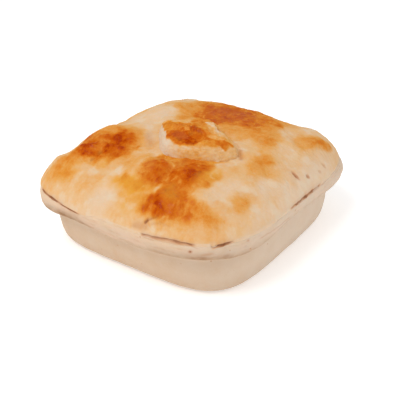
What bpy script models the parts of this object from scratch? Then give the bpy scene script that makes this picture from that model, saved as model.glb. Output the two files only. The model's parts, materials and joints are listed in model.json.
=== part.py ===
"""A single-serve beef pie: a pale pastry case, a blistered golden lid and a small pastry square.

Seen from above the pie is a rounded rectangle. Its long side runs along X, +Z is up, the base
lies on Z = 0, and the origin is under the middle of the base. All sizes are in metres.
"""
from collections import namedtuple
from math import atan2, cos, exp, hypot, pi, radians, sin

import bmesh
import bpy
from mathutils import Vector, noise

# ---------------------------------------------------------------- driving dimensions
# Every outline is |x / half_x| ** power + |y / half_y| ** power = 1, a rounded rectangle
# whose corners get squarer as the power grows.
Outline = namedtuple("Outline", "half_x half_y power")
BASE = Outline(0.0442, 0.0423, 4.8)
WALL_TOP = Outline(0.0496, 0.0454, 3.3)
RIM = Outline(0.0540, 0.0480, 4.0)

WALL_HEIGHT = 0.0176
WALL_BULGE = 0.0013
SEAM_HEIGHT = 0.0244
TOUCH_GAP = 0.0003

# Rounded edges of the case: how far each runs in and up, and in how many steps.
Round = namedtuple("Round", "inward upward steps")
FOOT_ROUND = Round(0.0030, 0.0028, 4)
FLANGE_ROUND = Round(0.0026, 0.0045, 4)
LIP_ROUND = Round(0.0009, 0.0008, 3)
WALL_STEPS = 4
WALL_TOP_SINK = 0.0010

# The hand-pressed rim: corners pulled in unevenly, and an underside that waves up and down.
RIM_PULL = 0.0007
RIM_PULL_WAVES = 7
FLANGE_WAVE = 0.0006
FLANGE_WAVES = 7
FLANGE_WAVE_PEAK = radians(212)
FLANGE_CORNER_DROP = 0.0008

# Two corners where the flange was pressed out past the lid: how far the flange stands out
# there, and how much lower its underside hangs. The lip under the lid follows by a share.
Swell = namedtuple("Swell", "name angle half_width outward drop")
SWELLS = (
    Swell("right corner", radians(-47), radians(23), 0.0023, 0.0011),
    Swell("left corner", radians(143), radians(16), 0.0008, 0.0004),
)
SWELL_LIP_SHARE = 0.35

# The lid's crown rises from its edge as RISE * (1 - share ** FLATNESS) ** SHOULDER, where
# share runs from 0 at the middle to 1 at the rim.
LID_EDGE = 0.0007
LID_EDGE_INSET = 0.0006
CROWN_RISE = 0.0145
CROWN_FLATNESS = 3.2
CROWN_SHOULDER = 0.8
RELIEF_FADE = 0.14

# Soft unevenness of the whole crust.
CRUST_LUMP_SIZE = 0.0100
CRUST_LUMP_DEPTH = 0.0006
CRUST_LUMP_ROUGHNESS = 0.7

# Blisters stand up from the crown, and dips between them sink in.
Blister = namedtuple("Blister", "name x y radius_x radius_y turn height")
BLISTER_STEEPNESS = 2.4
BLISTERS = (
    Blister("brown blister", -0.0215, 0.0295, 0.0130, 0.0110, 0, 0.0033),
    Blister("notch beside it", -0.0300, 0.0400, 0.0060, 0.0080, 45, -0.0026),
    Blister("left corner", -0.0440, 0.0390, 0.0090, 0.0090, 0, 0.0036),
    Blister("pale hump", 0.0160, 0.0280, 0.0160, 0.0130, 0, 0.0023),
    Blister("back blister", 0.0385, 0.0100, 0.0110, 0.0150, 0, 0.0011),
    Blister("notch at the right", 0.0425, -0.0185, 0.0070, 0.0070, 0, -0.0011),
    Blister("right corner", 0.0360, -0.0370, 0.0120, 0.0090, 0, 0.0020),
    Blister("front blister, left", -0.0335, -0.0040, 0.0070, 0.0065, 0, 0.0021),
    Blister("front blister, right", -0.0295, -0.0185, 0.0070, 0.0085, -20, 0.0022),
    Blister("brown knob", -0.0440, -0.0160, 0.0070, 0.0055, -20, 0.0016),
    Blister("front flake", -0.0420, -0.0320, 0.0085, 0.0060, 50, 0.0011),
    Blister("right swelling", -0.0060, -0.0330, 0.0120, 0.0070, 10, 0.0009),
    Blister("back swelling", 0.0120, -0.0240, 0.0080, 0.0070, 0, 0.0009),
)

# Creases run straight between two points and fade out at both ends.
Crease = namedtuple("Crease", "name start end width height")
CREASES = (
    Crease("before the square, left", (-0.0255, -0.0010), (-0.0245, -0.0140), 0.0024, -0.0011),
    Crease("before the square, right", (-0.0235, -0.0165), (-0.0080, -0.0285), 0.0024, -0.0011),
    Crease("beside the square", (-0.0215, 0.0045), (-0.0040, 0.0165), 0.0024, -0.0007),
    Crease("under the brown blister", (-0.0400, 0.0130), (-0.0200, 0.0090), 0.0032, -0.0007),
    Crease("front fold", (-0.0510, -0.0170), (-0.0440, -0.0260), 0.0022, -0.0009),
    Crease("right fold", (-0.0150, -0.0430), (0.0020, -0.0250), 0.0028, -0.0006),
)

# Where the lid has lifted off the case: middle and half width as angles round the rim.
Split = namedtuple("Split", "name angle half_width height")
SPLITS = (
    Split("left", radians(157), radians(12), 0.0008),
    Split("front", radians(-155), radians(9), 0.0007),
    Split("near corner", radians(-135), radians(4), 0.0009),
    Split("right", radians(-86), radians(11), 0.0007),
)
SPLIT_DEPTH = 0.0030
SPLIT_PLATEAU = 1.5
SPLIT_LID_SHARE = 0.6

# The square of pastry laid on the lid: corners from the front left, and round by the right.
SQUARE_CORNERS = ((-0.0232, -0.0006), (-0.0084, -0.0256), (0.0074, -0.0030), (-0.0054, 0.0134))
SQUARE_FRONT_BULGE = 0.0046
SQUARE_CORNER_POWER = 8.0
SQUARE_SIDE = 0.0012
SQUARE_SHOULDER = 0.0026
SQUARE_SHOULDER_RUN = 0.30
SQUARE_PEAK = 0.0024
SQUARE_PEAK_SHARPNESS = 1.15

# Fineness of the three meshes.
CASE_SEGMENTS = 112
LID_CELLS_X = 54
LID_CELLS_Y = 48
LID_RIM_CROWDING = 1.15
SQUARE_CELLS = 18
SHARP_EDGE = radians(50)


# ---------------------------------------------------------------- shared shapes
def smooth_step(value):
    """0 below 0, 1 above 1, and an even curve between."""
    value = min(max(value, 0.0), 1.0)
    return value * value * (3 - 2 * value)


def outline_radius(outline, angle):
    """Distance from the middle to the outline, in the direction of the angle."""
    across = abs(cos(angle) / outline.half_x) ** outline.power
    along = abs(sin(angle) / outline.half_y) ** outline.power
    return (across + along) ** (-1 / outline.power)


def rim_radius(angle):
    """The rim's outline, with its corners pulled in unevenly."""
    corner = sin(2 * angle) ** 2
    pull = RIM_PULL * corner * (1 + sin(RIM_PULL_WAVES * angle)) / 2
    return outline_radius(RIM, angle) - pull


def flange_swell(angle):
    """How far the flange stands out at an angle, and how much lower it hangs."""
    outward = 0.0
    drop = 0.0
    for swell in SWELLS:
        turn = (angle - swell.angle + pi) % (2 * pi) - pi
        nearness = smooth_step(1 - abs(turn) / swell.half_width)
        outward += swell.outward * nearness
        drop += swell.drop * nearness
    return outward, drop


def wall_radius(angle, height):
    """The slanting wall's outline at a height, a blend of the base's and the wall top's."""
    share = height / WALL_HEIGHT
    low = outline_radius(BASE, angle)
    high = outline_radius(WALL_TOP, angle)
    return low + (high - low) * share + WALL_BULGE * 4 * share * (1 - share)


def split_opening(angle):
    """How far the lid gapes over the case at an angle."""
    opening = 0.0
    for split in SPLITS:
        turn = (angle - split.angle + pi) % (2 * pi) - pi
        nearness = 1 - abs(turn) / split.half_width
        opening += split.height * smooth_step(SPLIT_PLATEAU * nearness)
    return opening


def blister_relief(x, y):
    """Sum of the blisters and dips at a point of the lid."""
    relief = 0.0
    for blister in BLISTERS:
        turn = radians(blister.turn)
        east = x - blister.x
        north = y - blister.y
        across = (east * cos(turn) + north * sin(turn)) / blister.radius_x
        along = (north * cos(turn) - east * sin(turn)) / blister.radius_y
        relief += blister.height * exp(-hypot(across, along) ** BLISTER_STEEPNESS)
    return relief


def crease_relief(x, y):
    """Sum of the creases at a point of the lid."""
    relief = 0.0
    point = Vector((x, y))
    for crease in CREASES:
        start = Vector(crease.start)
        run = Vector(crease.end) - start
        share = min(max((point - start).dot(run) / run.length_squared, 0.0), 1.0)
        distance = (point - start - run * share).length
        relief += crease.height * exp(-(distance / crease.width) ** 2)
    return relief


def crust_height(x, y):
    """Height of the lid's upper surface."""
    share = min(hypot(x, y) / rim_radius(atan2(y, x)), 1.0)
    crown = CROWN_RISE * (1 - share ** CROWN_FLATNESS) ** CROWN_SHOULDER
    place = Vector((x, y, 0.0)) / CRUST_LUMP_SIZE
    lumps = CRUST_LUMP_DEPTH * noise.fractal(place, CRUST_LUMP_ROUGHNESS, 2.2, 2)
    relief = blister_relief(x, y) + crease_relief(x, y) + lumps
    inner = smooth_step((1 - share) / RELIEF_FADE)
    return SEAM_HEIGHT + TOUCH_GAP + LID_EDGE + crown + relief * inner


# ---------------------------------------------------------------- building helpers
def make_material(name, color, roughness):
    """A plain baked-pastry material; colour is linear red, green and blue."""
    material = bpy.data.materials.new(name)
    material.use_nodes = True
    surface = material.node_tree.nodes["Principled BSDF"]
    surface.inputs["Base Color"].default_value = (*color, 1.0)
    surface.inputs["Roughness"].default_value = roughness
    surface.inputs["Metallic"].default_value = 0.0
    return material


def add_object(name, shape, material, collection):
    """Turn a finished bmesh into a smooth-shaded object in the pie's collection."""
    bmesh.ops.recalc_face_normals(shape, faces=shape.faces)
    mesh = bpy.data.meshes.new(name)
    shape.to_mesh(mesh)
    shape.free()
    mesh.materials.append(material)
    mesh.shade_smooth()
    mesh.set_sharp_from_angle(angle=SHARP_EDGE)
    collection.objects.link(bpy.data.objects.new(name, mesh))


def extrude_ring(shape, edges):
    """Extrude a closed ring of edges and return the new ring's vertices and edges."""
    grown = bmesh.ops.extrude_edge_only(shape, edges=edges)["geom"]
    vertices = [item for item in grown if isinstance(item, bmesh.types.BMVert)]
    new = set(vertices)
    ring = [item for item in grown
            if isinstance(item, bmesh.types.BMEdge) and set(item.verts) <= new]
    return vertices, ring


# ---------------------------------------------------------------- the pastry case
def quarter_round(steps):
    """Turns of a quarter circle, from flat (0) to upright (a right angle)."""
    return [pi / 2 * step / steps for step in range(steps + 1)]


def case_levels():
    """Functions that give (radius, height) at an angle, from the foot up to the seam."""
    levels = []

    def add_wall(height, inset):
        levels.append(lambda angle: (wall_radius(angle, height) - inset, height))

    def add_flange(height, inset):
        looseness = (SEAM_HEIGHT - height) / (SEAM_HEIGHT - WALL_HEIGHT)

        def place(angle):
            outward, swell_drop = flange_swell(angle)
            wave = FLANGE_WAVE * cos(FLANGE_WAVES * (angle - FLANGE_WAVE_PEAK))
            drop = FLANGE_CORNER_DROP * sin(2 * angle) ** 2 + swell_drop
            return rim_radius(angle) + outward - inset, height + (wave - drop) * looseness

        levels.append(place)

    def add_lip(height, inset, split_share):
        def place(angle):
            opening = split_opening(angle) * split_share
            outward = flange_swell(angle)[0] * SWELL_LIP_SHARE
            return rim_radius(angle) + outward - inset, height - opening

        levels.append(place)

    for turn in quarter_round(FOOT_ROUND.steps):
        height = FOOT_ROUND.upward * (1 - cos(turn))
        add_wall(height, FOOT_ROUND.inward * (1 - sin(turn)))
    wall_run = WALL_HEIGHT - WALL_TOP_SINK - FOOT_ROUND.upward
    for step in range(1, WALL_STEPS + 1):
        add_wall(FOOT_ROUND.upward + wall_run * step / WALL_STEPS, 0.0)
    for turn in quarter_round(FLANGE_ROUND.steps):
        height = WALL_HEIGHT + FLANGE_ROUND.upward * (1 - cos(turn))
        add_flange(height, FLANGE_ROUND.inward * (1 - sin(turn)))
    for turn in quarter_round(LIP_ROUND.steps):
        height = SEAM_HEIGHT - LIP_ROUND.upward * (1 - sin(turn))
        add_lip(height, LIP_ROUND.inward * (1 - cos(turn)), 1 - SPLIT_LID_SHARE)
    add_lip(SEAM_HEIGHT, LIP_ROUND.inward + SPLIT_DEPTH, 0.0)
    return levels


def build_case(collection, material):
    """Solid block of pie: flat base, slanting wall and a rolled flange up to the seam."""
    shape = bmesh.new()
    bmesh.ops.create_circle(shape, cap_ends=True, segments=CASE_SEGMENTS, radius=1.0)
    vertices = shape.verts[:]
    ring = shape.edges[:]
    for number, place in enumerate(case_levels()):
        if number > 0:
            vertices, ring = extrude_ring(shape, ring)
        for vertex in vertices:
            angle = atan2(vertex.co.y, vertex.co.x)
            radius, height = place(angle)
            vertex.co = (radius * cos(angle), radius * sin(angle), height)
    bmesh.ops.edgeloop_fill(shape, edges=ring)
    add_object("pastry_case", shape, material, collection)


# ---------------------------------------------------------------- the pastry lid
def spread_on_lid(u, v):
    """Map a point of the square -1..1 grid onto the lid's plan outline."""
    square_share = max(abs(u), abs(v))
    share = 1 - (1 - square_share) ** LID_RIM_CROWDING
    angle = atan2(v * RIM.half_y, u * RIM.half_x)
    radius = rim_radius(angle) * share
    return radius * cos(angle), radius * sin(angle)


def build_lid(collection, material):
    """Domed, blistered lid with a thin edge and a flat underside on the seam."""
    shape = bmesh.new()
    bmesh.ops.create_grid(shape, x_segments=LID_CELLS_X, y_segments=LID_CELLS_Y, size=1.0)
    for vertex in shape.verts:
        x, y = spread_on_lid(vertex.co.x, vertex.co.y)
        vertex.co = (x, y, crust_height(x, y))

    underside = SEAM_HEIGHT + TOUCH_GAP
    ring = [edge for edge in shape.edges if edge.is_boundary]
    steps = ((LID_EDGE_INSET, SPLIT_LID_SHARE), (LID_EDGE_INSET + SPLIT_DEPTH, 0.0))
    for inset, lift_share in steps:
        vertices, ring = extrude_ring(shape, ring)
        for vertex in vertices:
            angle = atan2(vertex.co.y, vertex.co.x)
            radius = rim_radius(angle) - inset
            height = underside + split_opening(angle) * lift_share
            vertex.co = (radius * cos(angle), radius * sin(angle), height)
    bmesh.ops.edgeloop_fill(shape, edges=ring)
    add_object("pastry_lid", shape, material, collection)


# ---------------------------------------------------------------- the pastry square
def spread_on_square(u, v):
    """Map a point of the -1..1 grid onto the square's plan: v = -1 is its front side."""
    front_left, right_tip, back_right, back_left = (Vector(c) for c in SQUARE_CORNERS)
    reach = max(abs(u), abs(v))
    if reach > 0:
        power = SQUARE_CORNER_POWER
        rounded = reach / (abs(u) ** power + abs(v) ** power) ** (1 / power)
        u *= rounded
        v *= rounded
    front = front_left.lerp(right_tip, (u + 1) / 2)
    back = back_left.lerp(back_right, (u + 1) / 2)
    outward = (front_left - back_left).normalized()
    front += outward * SQUARE_FRONT_BULGE * (1 - u * u)
    return front.lerp(back, (v + 1) / 2)


def square_thickness(u, v):
    """Thickness over the lid: a low edge, sloping sides, and ridges up to the peak."""
    reach = max(abs(u), abs(v))
    climb = min((1 - reach) / SQUARE_SHOULDER_RUN, 1.0)
    shoulder = SQUARE_SHOULDER * sin(climb * pi / 2)
    peak = SQUARE_PEAK * (1 - reach) ** SQUARE_PEAK_SHARPNESS
    return SQUARE_SIDE + shoulder + peak


def build_square(collection, material):
    """Small puffed piece of pastry that lies on the lid and follows it."""
    shape = bmesh.new()
    bmesh.ops.create_grid(shape, x_segments=SQUARE_CELLS, y_segments=SQUARE_CELLS, size=1.0)
    top = bmesh.ops.extrude_face_region(shape, geom=shape.faces[:])["geom"]
    top = {item for item in top if isinstance(item, bmesh.types.BMVert)}
    for vertex in shape.verts:
        u, v = vertex.co.x, vertex.co.y
        x, y = spread_on_square(u, v)
        height = crust_height(x, y) + TOUCH_GAP
        if vertex in top:
            height += square_thickness(u, v)
        vertex.co = (x, y, height)
    add_object("pastry_square", shape, material, collection)


# ---------------------------------------------------------------- the pie
def main():
    for leftover in list(bpy.data.objects):
        bpy.data.objects.remove(leftover, do_unlink=True)

    pie = bpy.data.collections.new("beef_pie")
    bpy.context.scene.collection.children.link(pie)
    build_case(pie, make_material("pale pastry", (0.66, 0.49, 0.35), 0.75))
    build_lid(pie, make_material("golden pastry", (0.73, 0.40, 0.16), 0.50))
    build_square(pie, make_material("browned pastry", (0.64, 0.27, 0.07), 0.45))


main()
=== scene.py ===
# %% [markdown]
# # Dressing a beef pie
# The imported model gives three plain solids: the pale pastry case, the blistered lid and the
# small square of pastry laid on the lid. This lesson gives each of them its baked skin, and
# then sets up a pale studio to look at them in. The solids are loaded first, because every
# new piece takes its place and size from them.

# %% Load the frame
import json
import math

import bmesh
import bpy
import numpy as np
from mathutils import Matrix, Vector, noise
from mathutils.bvhtree import BVHTree

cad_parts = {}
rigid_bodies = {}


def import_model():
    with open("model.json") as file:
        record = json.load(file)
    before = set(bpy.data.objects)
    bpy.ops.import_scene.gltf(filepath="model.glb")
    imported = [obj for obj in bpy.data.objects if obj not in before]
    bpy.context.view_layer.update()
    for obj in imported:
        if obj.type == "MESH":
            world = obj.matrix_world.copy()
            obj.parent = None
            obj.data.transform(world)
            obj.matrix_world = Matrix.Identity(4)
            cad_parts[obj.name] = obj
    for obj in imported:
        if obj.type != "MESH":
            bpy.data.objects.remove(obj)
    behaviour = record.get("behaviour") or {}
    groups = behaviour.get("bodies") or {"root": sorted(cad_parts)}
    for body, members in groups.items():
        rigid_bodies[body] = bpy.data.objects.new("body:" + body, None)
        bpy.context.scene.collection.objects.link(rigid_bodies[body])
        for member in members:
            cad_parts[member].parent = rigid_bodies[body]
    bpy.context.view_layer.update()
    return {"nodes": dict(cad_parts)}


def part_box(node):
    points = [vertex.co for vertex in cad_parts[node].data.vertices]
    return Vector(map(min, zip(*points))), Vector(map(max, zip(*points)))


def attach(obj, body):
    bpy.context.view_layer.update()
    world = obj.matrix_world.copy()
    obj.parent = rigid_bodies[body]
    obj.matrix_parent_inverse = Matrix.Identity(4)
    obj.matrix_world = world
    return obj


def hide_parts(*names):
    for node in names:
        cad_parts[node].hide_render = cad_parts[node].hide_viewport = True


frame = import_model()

MM = 0.001
print("solids:", sorted(frame["nodes"]))

# %% [markdown]
# ## The camera
# The photograph looks down on one corner of the pie from about thirty degrees. The camera
# stands 290 mm away, so near edges look larger than far ones, as they do through a normal
# lens at that distance. It is made before the pastry, so that every later render can be held
# against the photograph.

# %% Camera
CAMERA_PLACE = Vector((-0.20408, -0.14343, 0.14163))
CAMERA_AIM = Vector((0.72575, 0.50330, -0.46901))
CAMERA_LENS = 62.15

turn = CAMERA_AIM.to_track_quat("-Z", "Y").to_euler()
bpy.ops.object.camera_add(location=CAMERA_PLACE, rotation=turn)
camera = bpy.context.object
camera.name = "camera"
camera.data.lens = CAMERA_LENS
camera.data.clip_start = 0.01
bpy.context.scene.camera = camera
print("camera stands", round(CAMERA_PLACE.length / MM), "mm from the middle of the base")

# %% [markdown]
# ## Helpers for shaping
# Operators act on whatever is selected, so each step starts by selecting nothing. A loaded
# solid is loose triangles: a copy of it is merged, and its triangles are joined back into
# four-sided faces, so that a Subdivision Surface can round it. Points are read and written
# as one long table in millimetres, which keeps the sizes below easy to read.

# %% Selecting and copying
MERGE_DISTANCE = 1e-6
JOIN_ANGLE = math.radians(60)


def select_only(*pieces):
    """Leave edit mode and select these objects alone; the last one becomes active."""
    if bpy.context.object and bpy.context.object.mode != "OBJECT":
        bpy.ops.object.mode_set(mode="OBJECT")
    bpy.ops.object.select_all(action="DESELECT")
    for piece in pieces:
        piece.select_set(True)
        bpy.context.view_layer.objects.active = piece


def merged_copy(node, name):
    """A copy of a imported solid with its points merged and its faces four-sided."""
    solid = frame["nodes"][node]
    select_only(solid)
    bpy.ops.object.duplicate()
    copy = bpy.context.object
    select_only(copy)
    bpy.ops.object.parent_clear(type="CLEAR_KEEP_TRANSFORM")
    copy.name = copy.data.name = name
    copy.data.materials.clear()
    bpy.ops.object.mode_set(mode="EDIT")
    bpy.ops.mesh.select_all(action="SELECT")
    bpy.ops.mesh.remove_doubles(threshold=MERGE_DISTANCE)
    bpy.ops.mesh.tris_convert_to_quads(face_threshold=JOIN_ANGLE, shape_threshold=JOIN_ANGLE)
    bpy.ops.object.mode_set(mode="OBJECT")
    return copy


def add_modifier(piece, kind, **settings):
    """Add a modifier with these settings and apply it straight away."""
    select_only(piece)
    modifier = piece.modifiers.new(kind.title(), kind)
    for key, value in settings.items():
        setattr(modifier, key, value)
    bpy.ops.object.modifier_apply(modifier=modifier.name)


def rounded_copy(node, name, levels):
    """A merged copy of a solid, rounded by a Subdivision Surface."""
    copy = merged_copy(node, name)
    add_modifier(copy, "SUBSURF", levels=levels, render_levels=levels)
    return copy


def read_points(piece):
    """All points of a mesh as a table of x, y and z, in millimetres."""
    points = np.empty(len(piece.data.vertices) * 3)
    piece.data.vertices.foreach_get("co", points)
    return points.reshape(-1, 3) / MM


def write_points(piece, points):
    """Put a table of points, in millimetres, back into a mesh."""
    piece.data.vertices.foreach_set("co", (points * MM).ravel())
    piece.data.update()


def read_normals(piece):
    """The outward direction at each point of a mesh."""
    piece.data.update()
    normals = np.empty(len(piece.data.vertices) * 3)
    piece.data.vertex_normals.foreach_get("vector", normals)
    return normals.reshape(-1, 3)


def write_shares(piece, **shares):
    """Keep named numbers from 0 to 1 for each point, for the materials to read."""
    for name, values in shares.items():
        attribute = piece.data.attributes.new(name, "FLOAT", "POINT")
        attribute.data.foreach_set("value", np.clip(values, 0, 1).astype(np.float32))


def triangles(piece):
    """How many triangles a mesh has."""
    return sum(len(face.vertices) - 2 for face in piece.data.polygons)


# %% [markdown]
# ## Helpers for uneven things
# Nothing on a pie repeats, yet the same script has to give the same pie each time. So every
# unevenness is either a named spot with a place and a size, or noise, which is a fixed field
# that looks random. Each use of noise has a seed, a whole number that picks another part of
# the field, so that no two look alike. Fields are read at each point, as a column of numbers.

# %% Fields
# Farther than anything on the pie, in millimetres.
FAR = 200.0


def smooth_step(values):
    """0 below 0, 1 above 1, and an even curve between."""
    values = np.clip(values, 0, 1)
    return values * values * (3 - 2 * values)


def ramp(values, start, span):
    """0 up to start, 1 from a span above it, and an even curve between."""
    return smooth_step((values - start) / span)


def fractal(points, size, shift, octaves):
    """Noise of about -1 to 1 at each point, read from a part of the field shifted this far."""
    shift = Vector(shift)
    return np.array([noise.fractal(Vector(point) / size + shift, 1.0, 2.0, octaves)
                     for point in points])


def lumps(points, size, seed, octaves=3):
    """Soft noise of about -1 to 1; size is the width of one lump in millimetres."""
    return fractal(points, size, (seed * 17.3, seed * 7.1, seed * 3.7), octaves)


def ridges(points, size, seed):
    """Noise with sharp crests, from 0 in the hollows to about 1 on the crests."""
    field = fractal(points, size, (seed * 13.1, seed * 5.9, seed * 8.3), 4)
    return np.clip(1 - np.abs(field) * 2.2, 0, 1)


def cells(points, size, seed):
    """Distances from the nearest of many scattered centres, and from the next nearest."""
    shift = Vector((seed * 11.7, seed * 6.3, seed * 4.9))
    near = np.empty((len(points), 2))
    for index, point in enumerate(points):
        distances = noise.voronoi(Vector(point) / size + shift)[0]
        near[index] = distances[0], distances[1]
    return near[:, 0], near[:, 1]


def flattened(points):
    """The points as seen from above, all at height 0."""
    return points * np.array([1, 1, 0])


def stirred(points, size, depth, seed):
    """The points pushed sideways by noise, which makes any spot drawn on them ragged."""
    push = np.stack([lumps(points, size, seed + axis, 2) for axis in range(2)], axis=1)
    moved = points.copy()
    moved[:, :2] += push * depth
    return moved


def spot(points, x, y, radius_x, radius_y, turn=0.0):
    """Distance from a spot's middle: 0 there, 1 on its edge, more outside it."""
    east = points[:, 0] - x
    north = points[:, 1] - y
    cosine = math.cos(math.radians(turn))
    sine = math.sin(math.radians(turn))
    across = (east * cosine + north * sine) / radius_x
    along = (north * cosine - east * sine) / radius_y
    return np.hypot(across, along)


def from_line(points, start, end):
    """Distance in millimetres from a line seen from above."""
    run = np.array(end) - np.array(start)
    share = np.clip((points[:, :2] - start) @ run / (run @ run), 0, 1)
    return np.linalg.norm(points[:, :2] - start - share[:, None] * run, axis=1)


def line(points, start, end, width):
    """1 on the line from start to end, fading to 0 at its width and beyond its ends."""
    return np.exp(-(from_line(points, start, end) / width) ** 2)


def within(points, corners):
    """Distance in millimetres inside an outline seen from above; negative outside it."""
    corners = np.array(corners, dtype=float)
    nearest = np.full(len(points), FAR)
    crossings = np.zeros(len(points), dtype=int)
    for start, end in zip(corners, np.roll(corners, -1, axis=0)):
        nearest = np.minimum(nearest, from_line(points, start, end))
        run = end - start
        spans = (start[1] > points[:, 1]) != (end[1] > points[:, 1])
        crossing = start[0] + (points[:, 1] - start[1]) * run[0] / (run[1] or 1e-9)
        crossings += spans & (points[:, 0] < crossing)
    return np.where(crossings % 2 == 1, nearest, -nearest)


def painted(values, mask, level):
    """Values brushed towards a level, as far as the mask says."""
    return values + (level - values) * mask


def stroke(points, x, y, radius_x, radius_y, turned, softness):
    """How far one stroke of a soft brush covers each point, from 0 to 1."""
    away = spot(points, x, y, radius_x, radius_y, turned)
    return smooth_step((1 + softness - away) / (2 * softness))


def in_degrees(angle):
    """An angle in degrees from 0 to 360."""
    return np.mod(np.degrees(angle), 360)


def read_turns(table, angle):
    """Read a table of turns in degrees and values at an angle."""
    turns, values = np.array(table).T
    return np.interp(in_degrees(angle), turns, values)


# %% [markdown]
# ## The lid's sheet
# On the real pie the lid is one thin sheet of pastry that rose over the filling, blistered,
# and sank between the blisters. Many small equal faces carry such relief best, so the sheet
# starts as a flat grid. The grid is eased into the outline of the rim, dropped onto the
# solid lid with a Shrinkwrap, and smoothed until no facet of the solid shows.

# %% The rim's outline, measured on the solid lid
LID_CELLS = (300, 268)
RIM_HEIGHT = 0.62

lid_low, lid_high = (np.array(corner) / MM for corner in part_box("pastry_lid"))
lid_form = rounded_copy("pastry_lid", "lid_form", 2)


def tree_of(node):
    """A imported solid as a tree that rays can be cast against, in millimetres."""
    mesh = frame["nodes"][node].data
    return BVHTree.FromPolygons([vertex.co / MM for vertex in mesh.vertices],
                                [face.vertices[:] for face in mesh.polygons])


LID_TREE = tree_of("pastry_lid")


def outline_table(tree, height, count=720):
    """Distance from the middle to a solid's side at a height, for each of many angles."""
    radii = []
    for step in range(count):
        angle = 2 * math.pi * step / count
        away = Vector((math.cos(angle), math.sin(angle), 0))
        hit = tree.ray_cast(away * FAR + Vector((0, 0, height)), -away)[0]
        radii.append(math.hypot(hit.x, hit.y))
    return np.array(radii)


def at_angle(table, angle):
    """Read a table that runs once round the pie."""
    steps = np.arange(len(table) + 1) * 2 * math.pi / len(table)
    return np.interp(np.mod(angle, 2 * math.pi), steps, np.append(table, table[0]))


RIM_TABLE = outline_table(LID_TREE, lid_low[2] + RIM_HEIGHT)
print("rim radius in mm:", round(RIM_TABLE.min(), 2), "to", round(RIM_TABLE.max(), 2))

# %% A grid eased into that outline
RIM_TUCK = 0.25
RIM_CROWDING = 1.12
SQUARENESS = 0.92
START_ABOVE = 5.0

half_x, half_y = lid_high[:2]
select_only()
bpy.ops.mesh.primitive_grid_add(x_subdivisions=LID_CELLS[0], y_subdivisions=LID_CELLS[1],
                                size=2, location=(0, 0, 0))
lid = bpy.context.object
lid.name = lid.data.name = "lid_crust"

grid = np.empty(len(lid.data.vertices) * 3)
lid.data.vertices.foreach_get("co", grid)
grid = grid.reshape(-1, 3)
reach = np.max(np.abs(grid[:, :2]), axis=1)
on_border = reach > 1 - 1e-6
share = 1 - (1 - reach) ** RIM_CROWDING
direction = grid[:, :2] / np.maximum(reach, 1e-9)[:, None]
angle = np.arctan2(direction[:, 1] * half_y, direction[:, 0] * half_x)
rim = at_angle(RIM_TABLE, angle) - RIM_TUCK
round_place = np.stack([np.cos(angle) * rim, np.sin(angle) * rim], axis=1)
square_place = direction * np.array([half_x, half_y]) * SQUARENESS
roundness = (share ** 2)[:, None]
place = share[:, None] * (square_place * (1 - roundness) + round_place * roundness)
write_points(lid, np.column_stack([place, np.full(len(place), lid_high[2] + START_ABOVE)]))
print("grid of", len(grid), "points, cells of about", round(2 * half_x / LID_CELLS[0], 2), "mm")

# %% Dropped onto the solid lid and smoothed
EDGE_HEIGHT = 0.7
SMOOTHING = 14

add_modifier(lid, "SHRINKWRAP", target=lid_form, wrap_method="PROJECT",
             use_project_z=True, use_negative_direction=True, use_positive_direction=False)
points = read_points(lid)
missed = points[:, 2] > lid_high[2] + START_ABOVE / 2
points[missed, 2] = lid_low[2] + EDGE_HEIGHT
write_points(lid, points)
print("points past the solid's edge:", missed.sum(), "of", len(points))
print("sheet from", round(points[:, 2].min(), 2), "to", round(points[:, 2].max(), 2), "mm high")

select_only(lid)
lid.data.vertices.foreach_set("select", ~on_border)
bpy.ops.object.mode_set(mode="EDIT")
bpy.ops.mesh.select_mode(type="VERT")
bpy.ops.mesh.vertices_smooth(factor=0.5, repeat=SMOOTHING)
bpy.ops.object.mode_set(mode="OBJECT")
bpy.data.objects.remove(lid_form)

# %% [markdown]
# ## Where the lid is browned
# A blister lifts the dough nearer to the heat, so it browns first, and the dips stay pale.
# The photograph shows which blisters browned and how far. Each is a named patch, painted in
# order like strokes of a soft brush: the broad ones first, the deepest ones last. The points
# are stirred before they are measured, so every patch gets a ragged edge. A level of 0 is
# raw dough, 0.3 cream, 0.6 orange and 1 the deepest red brown.

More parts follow.
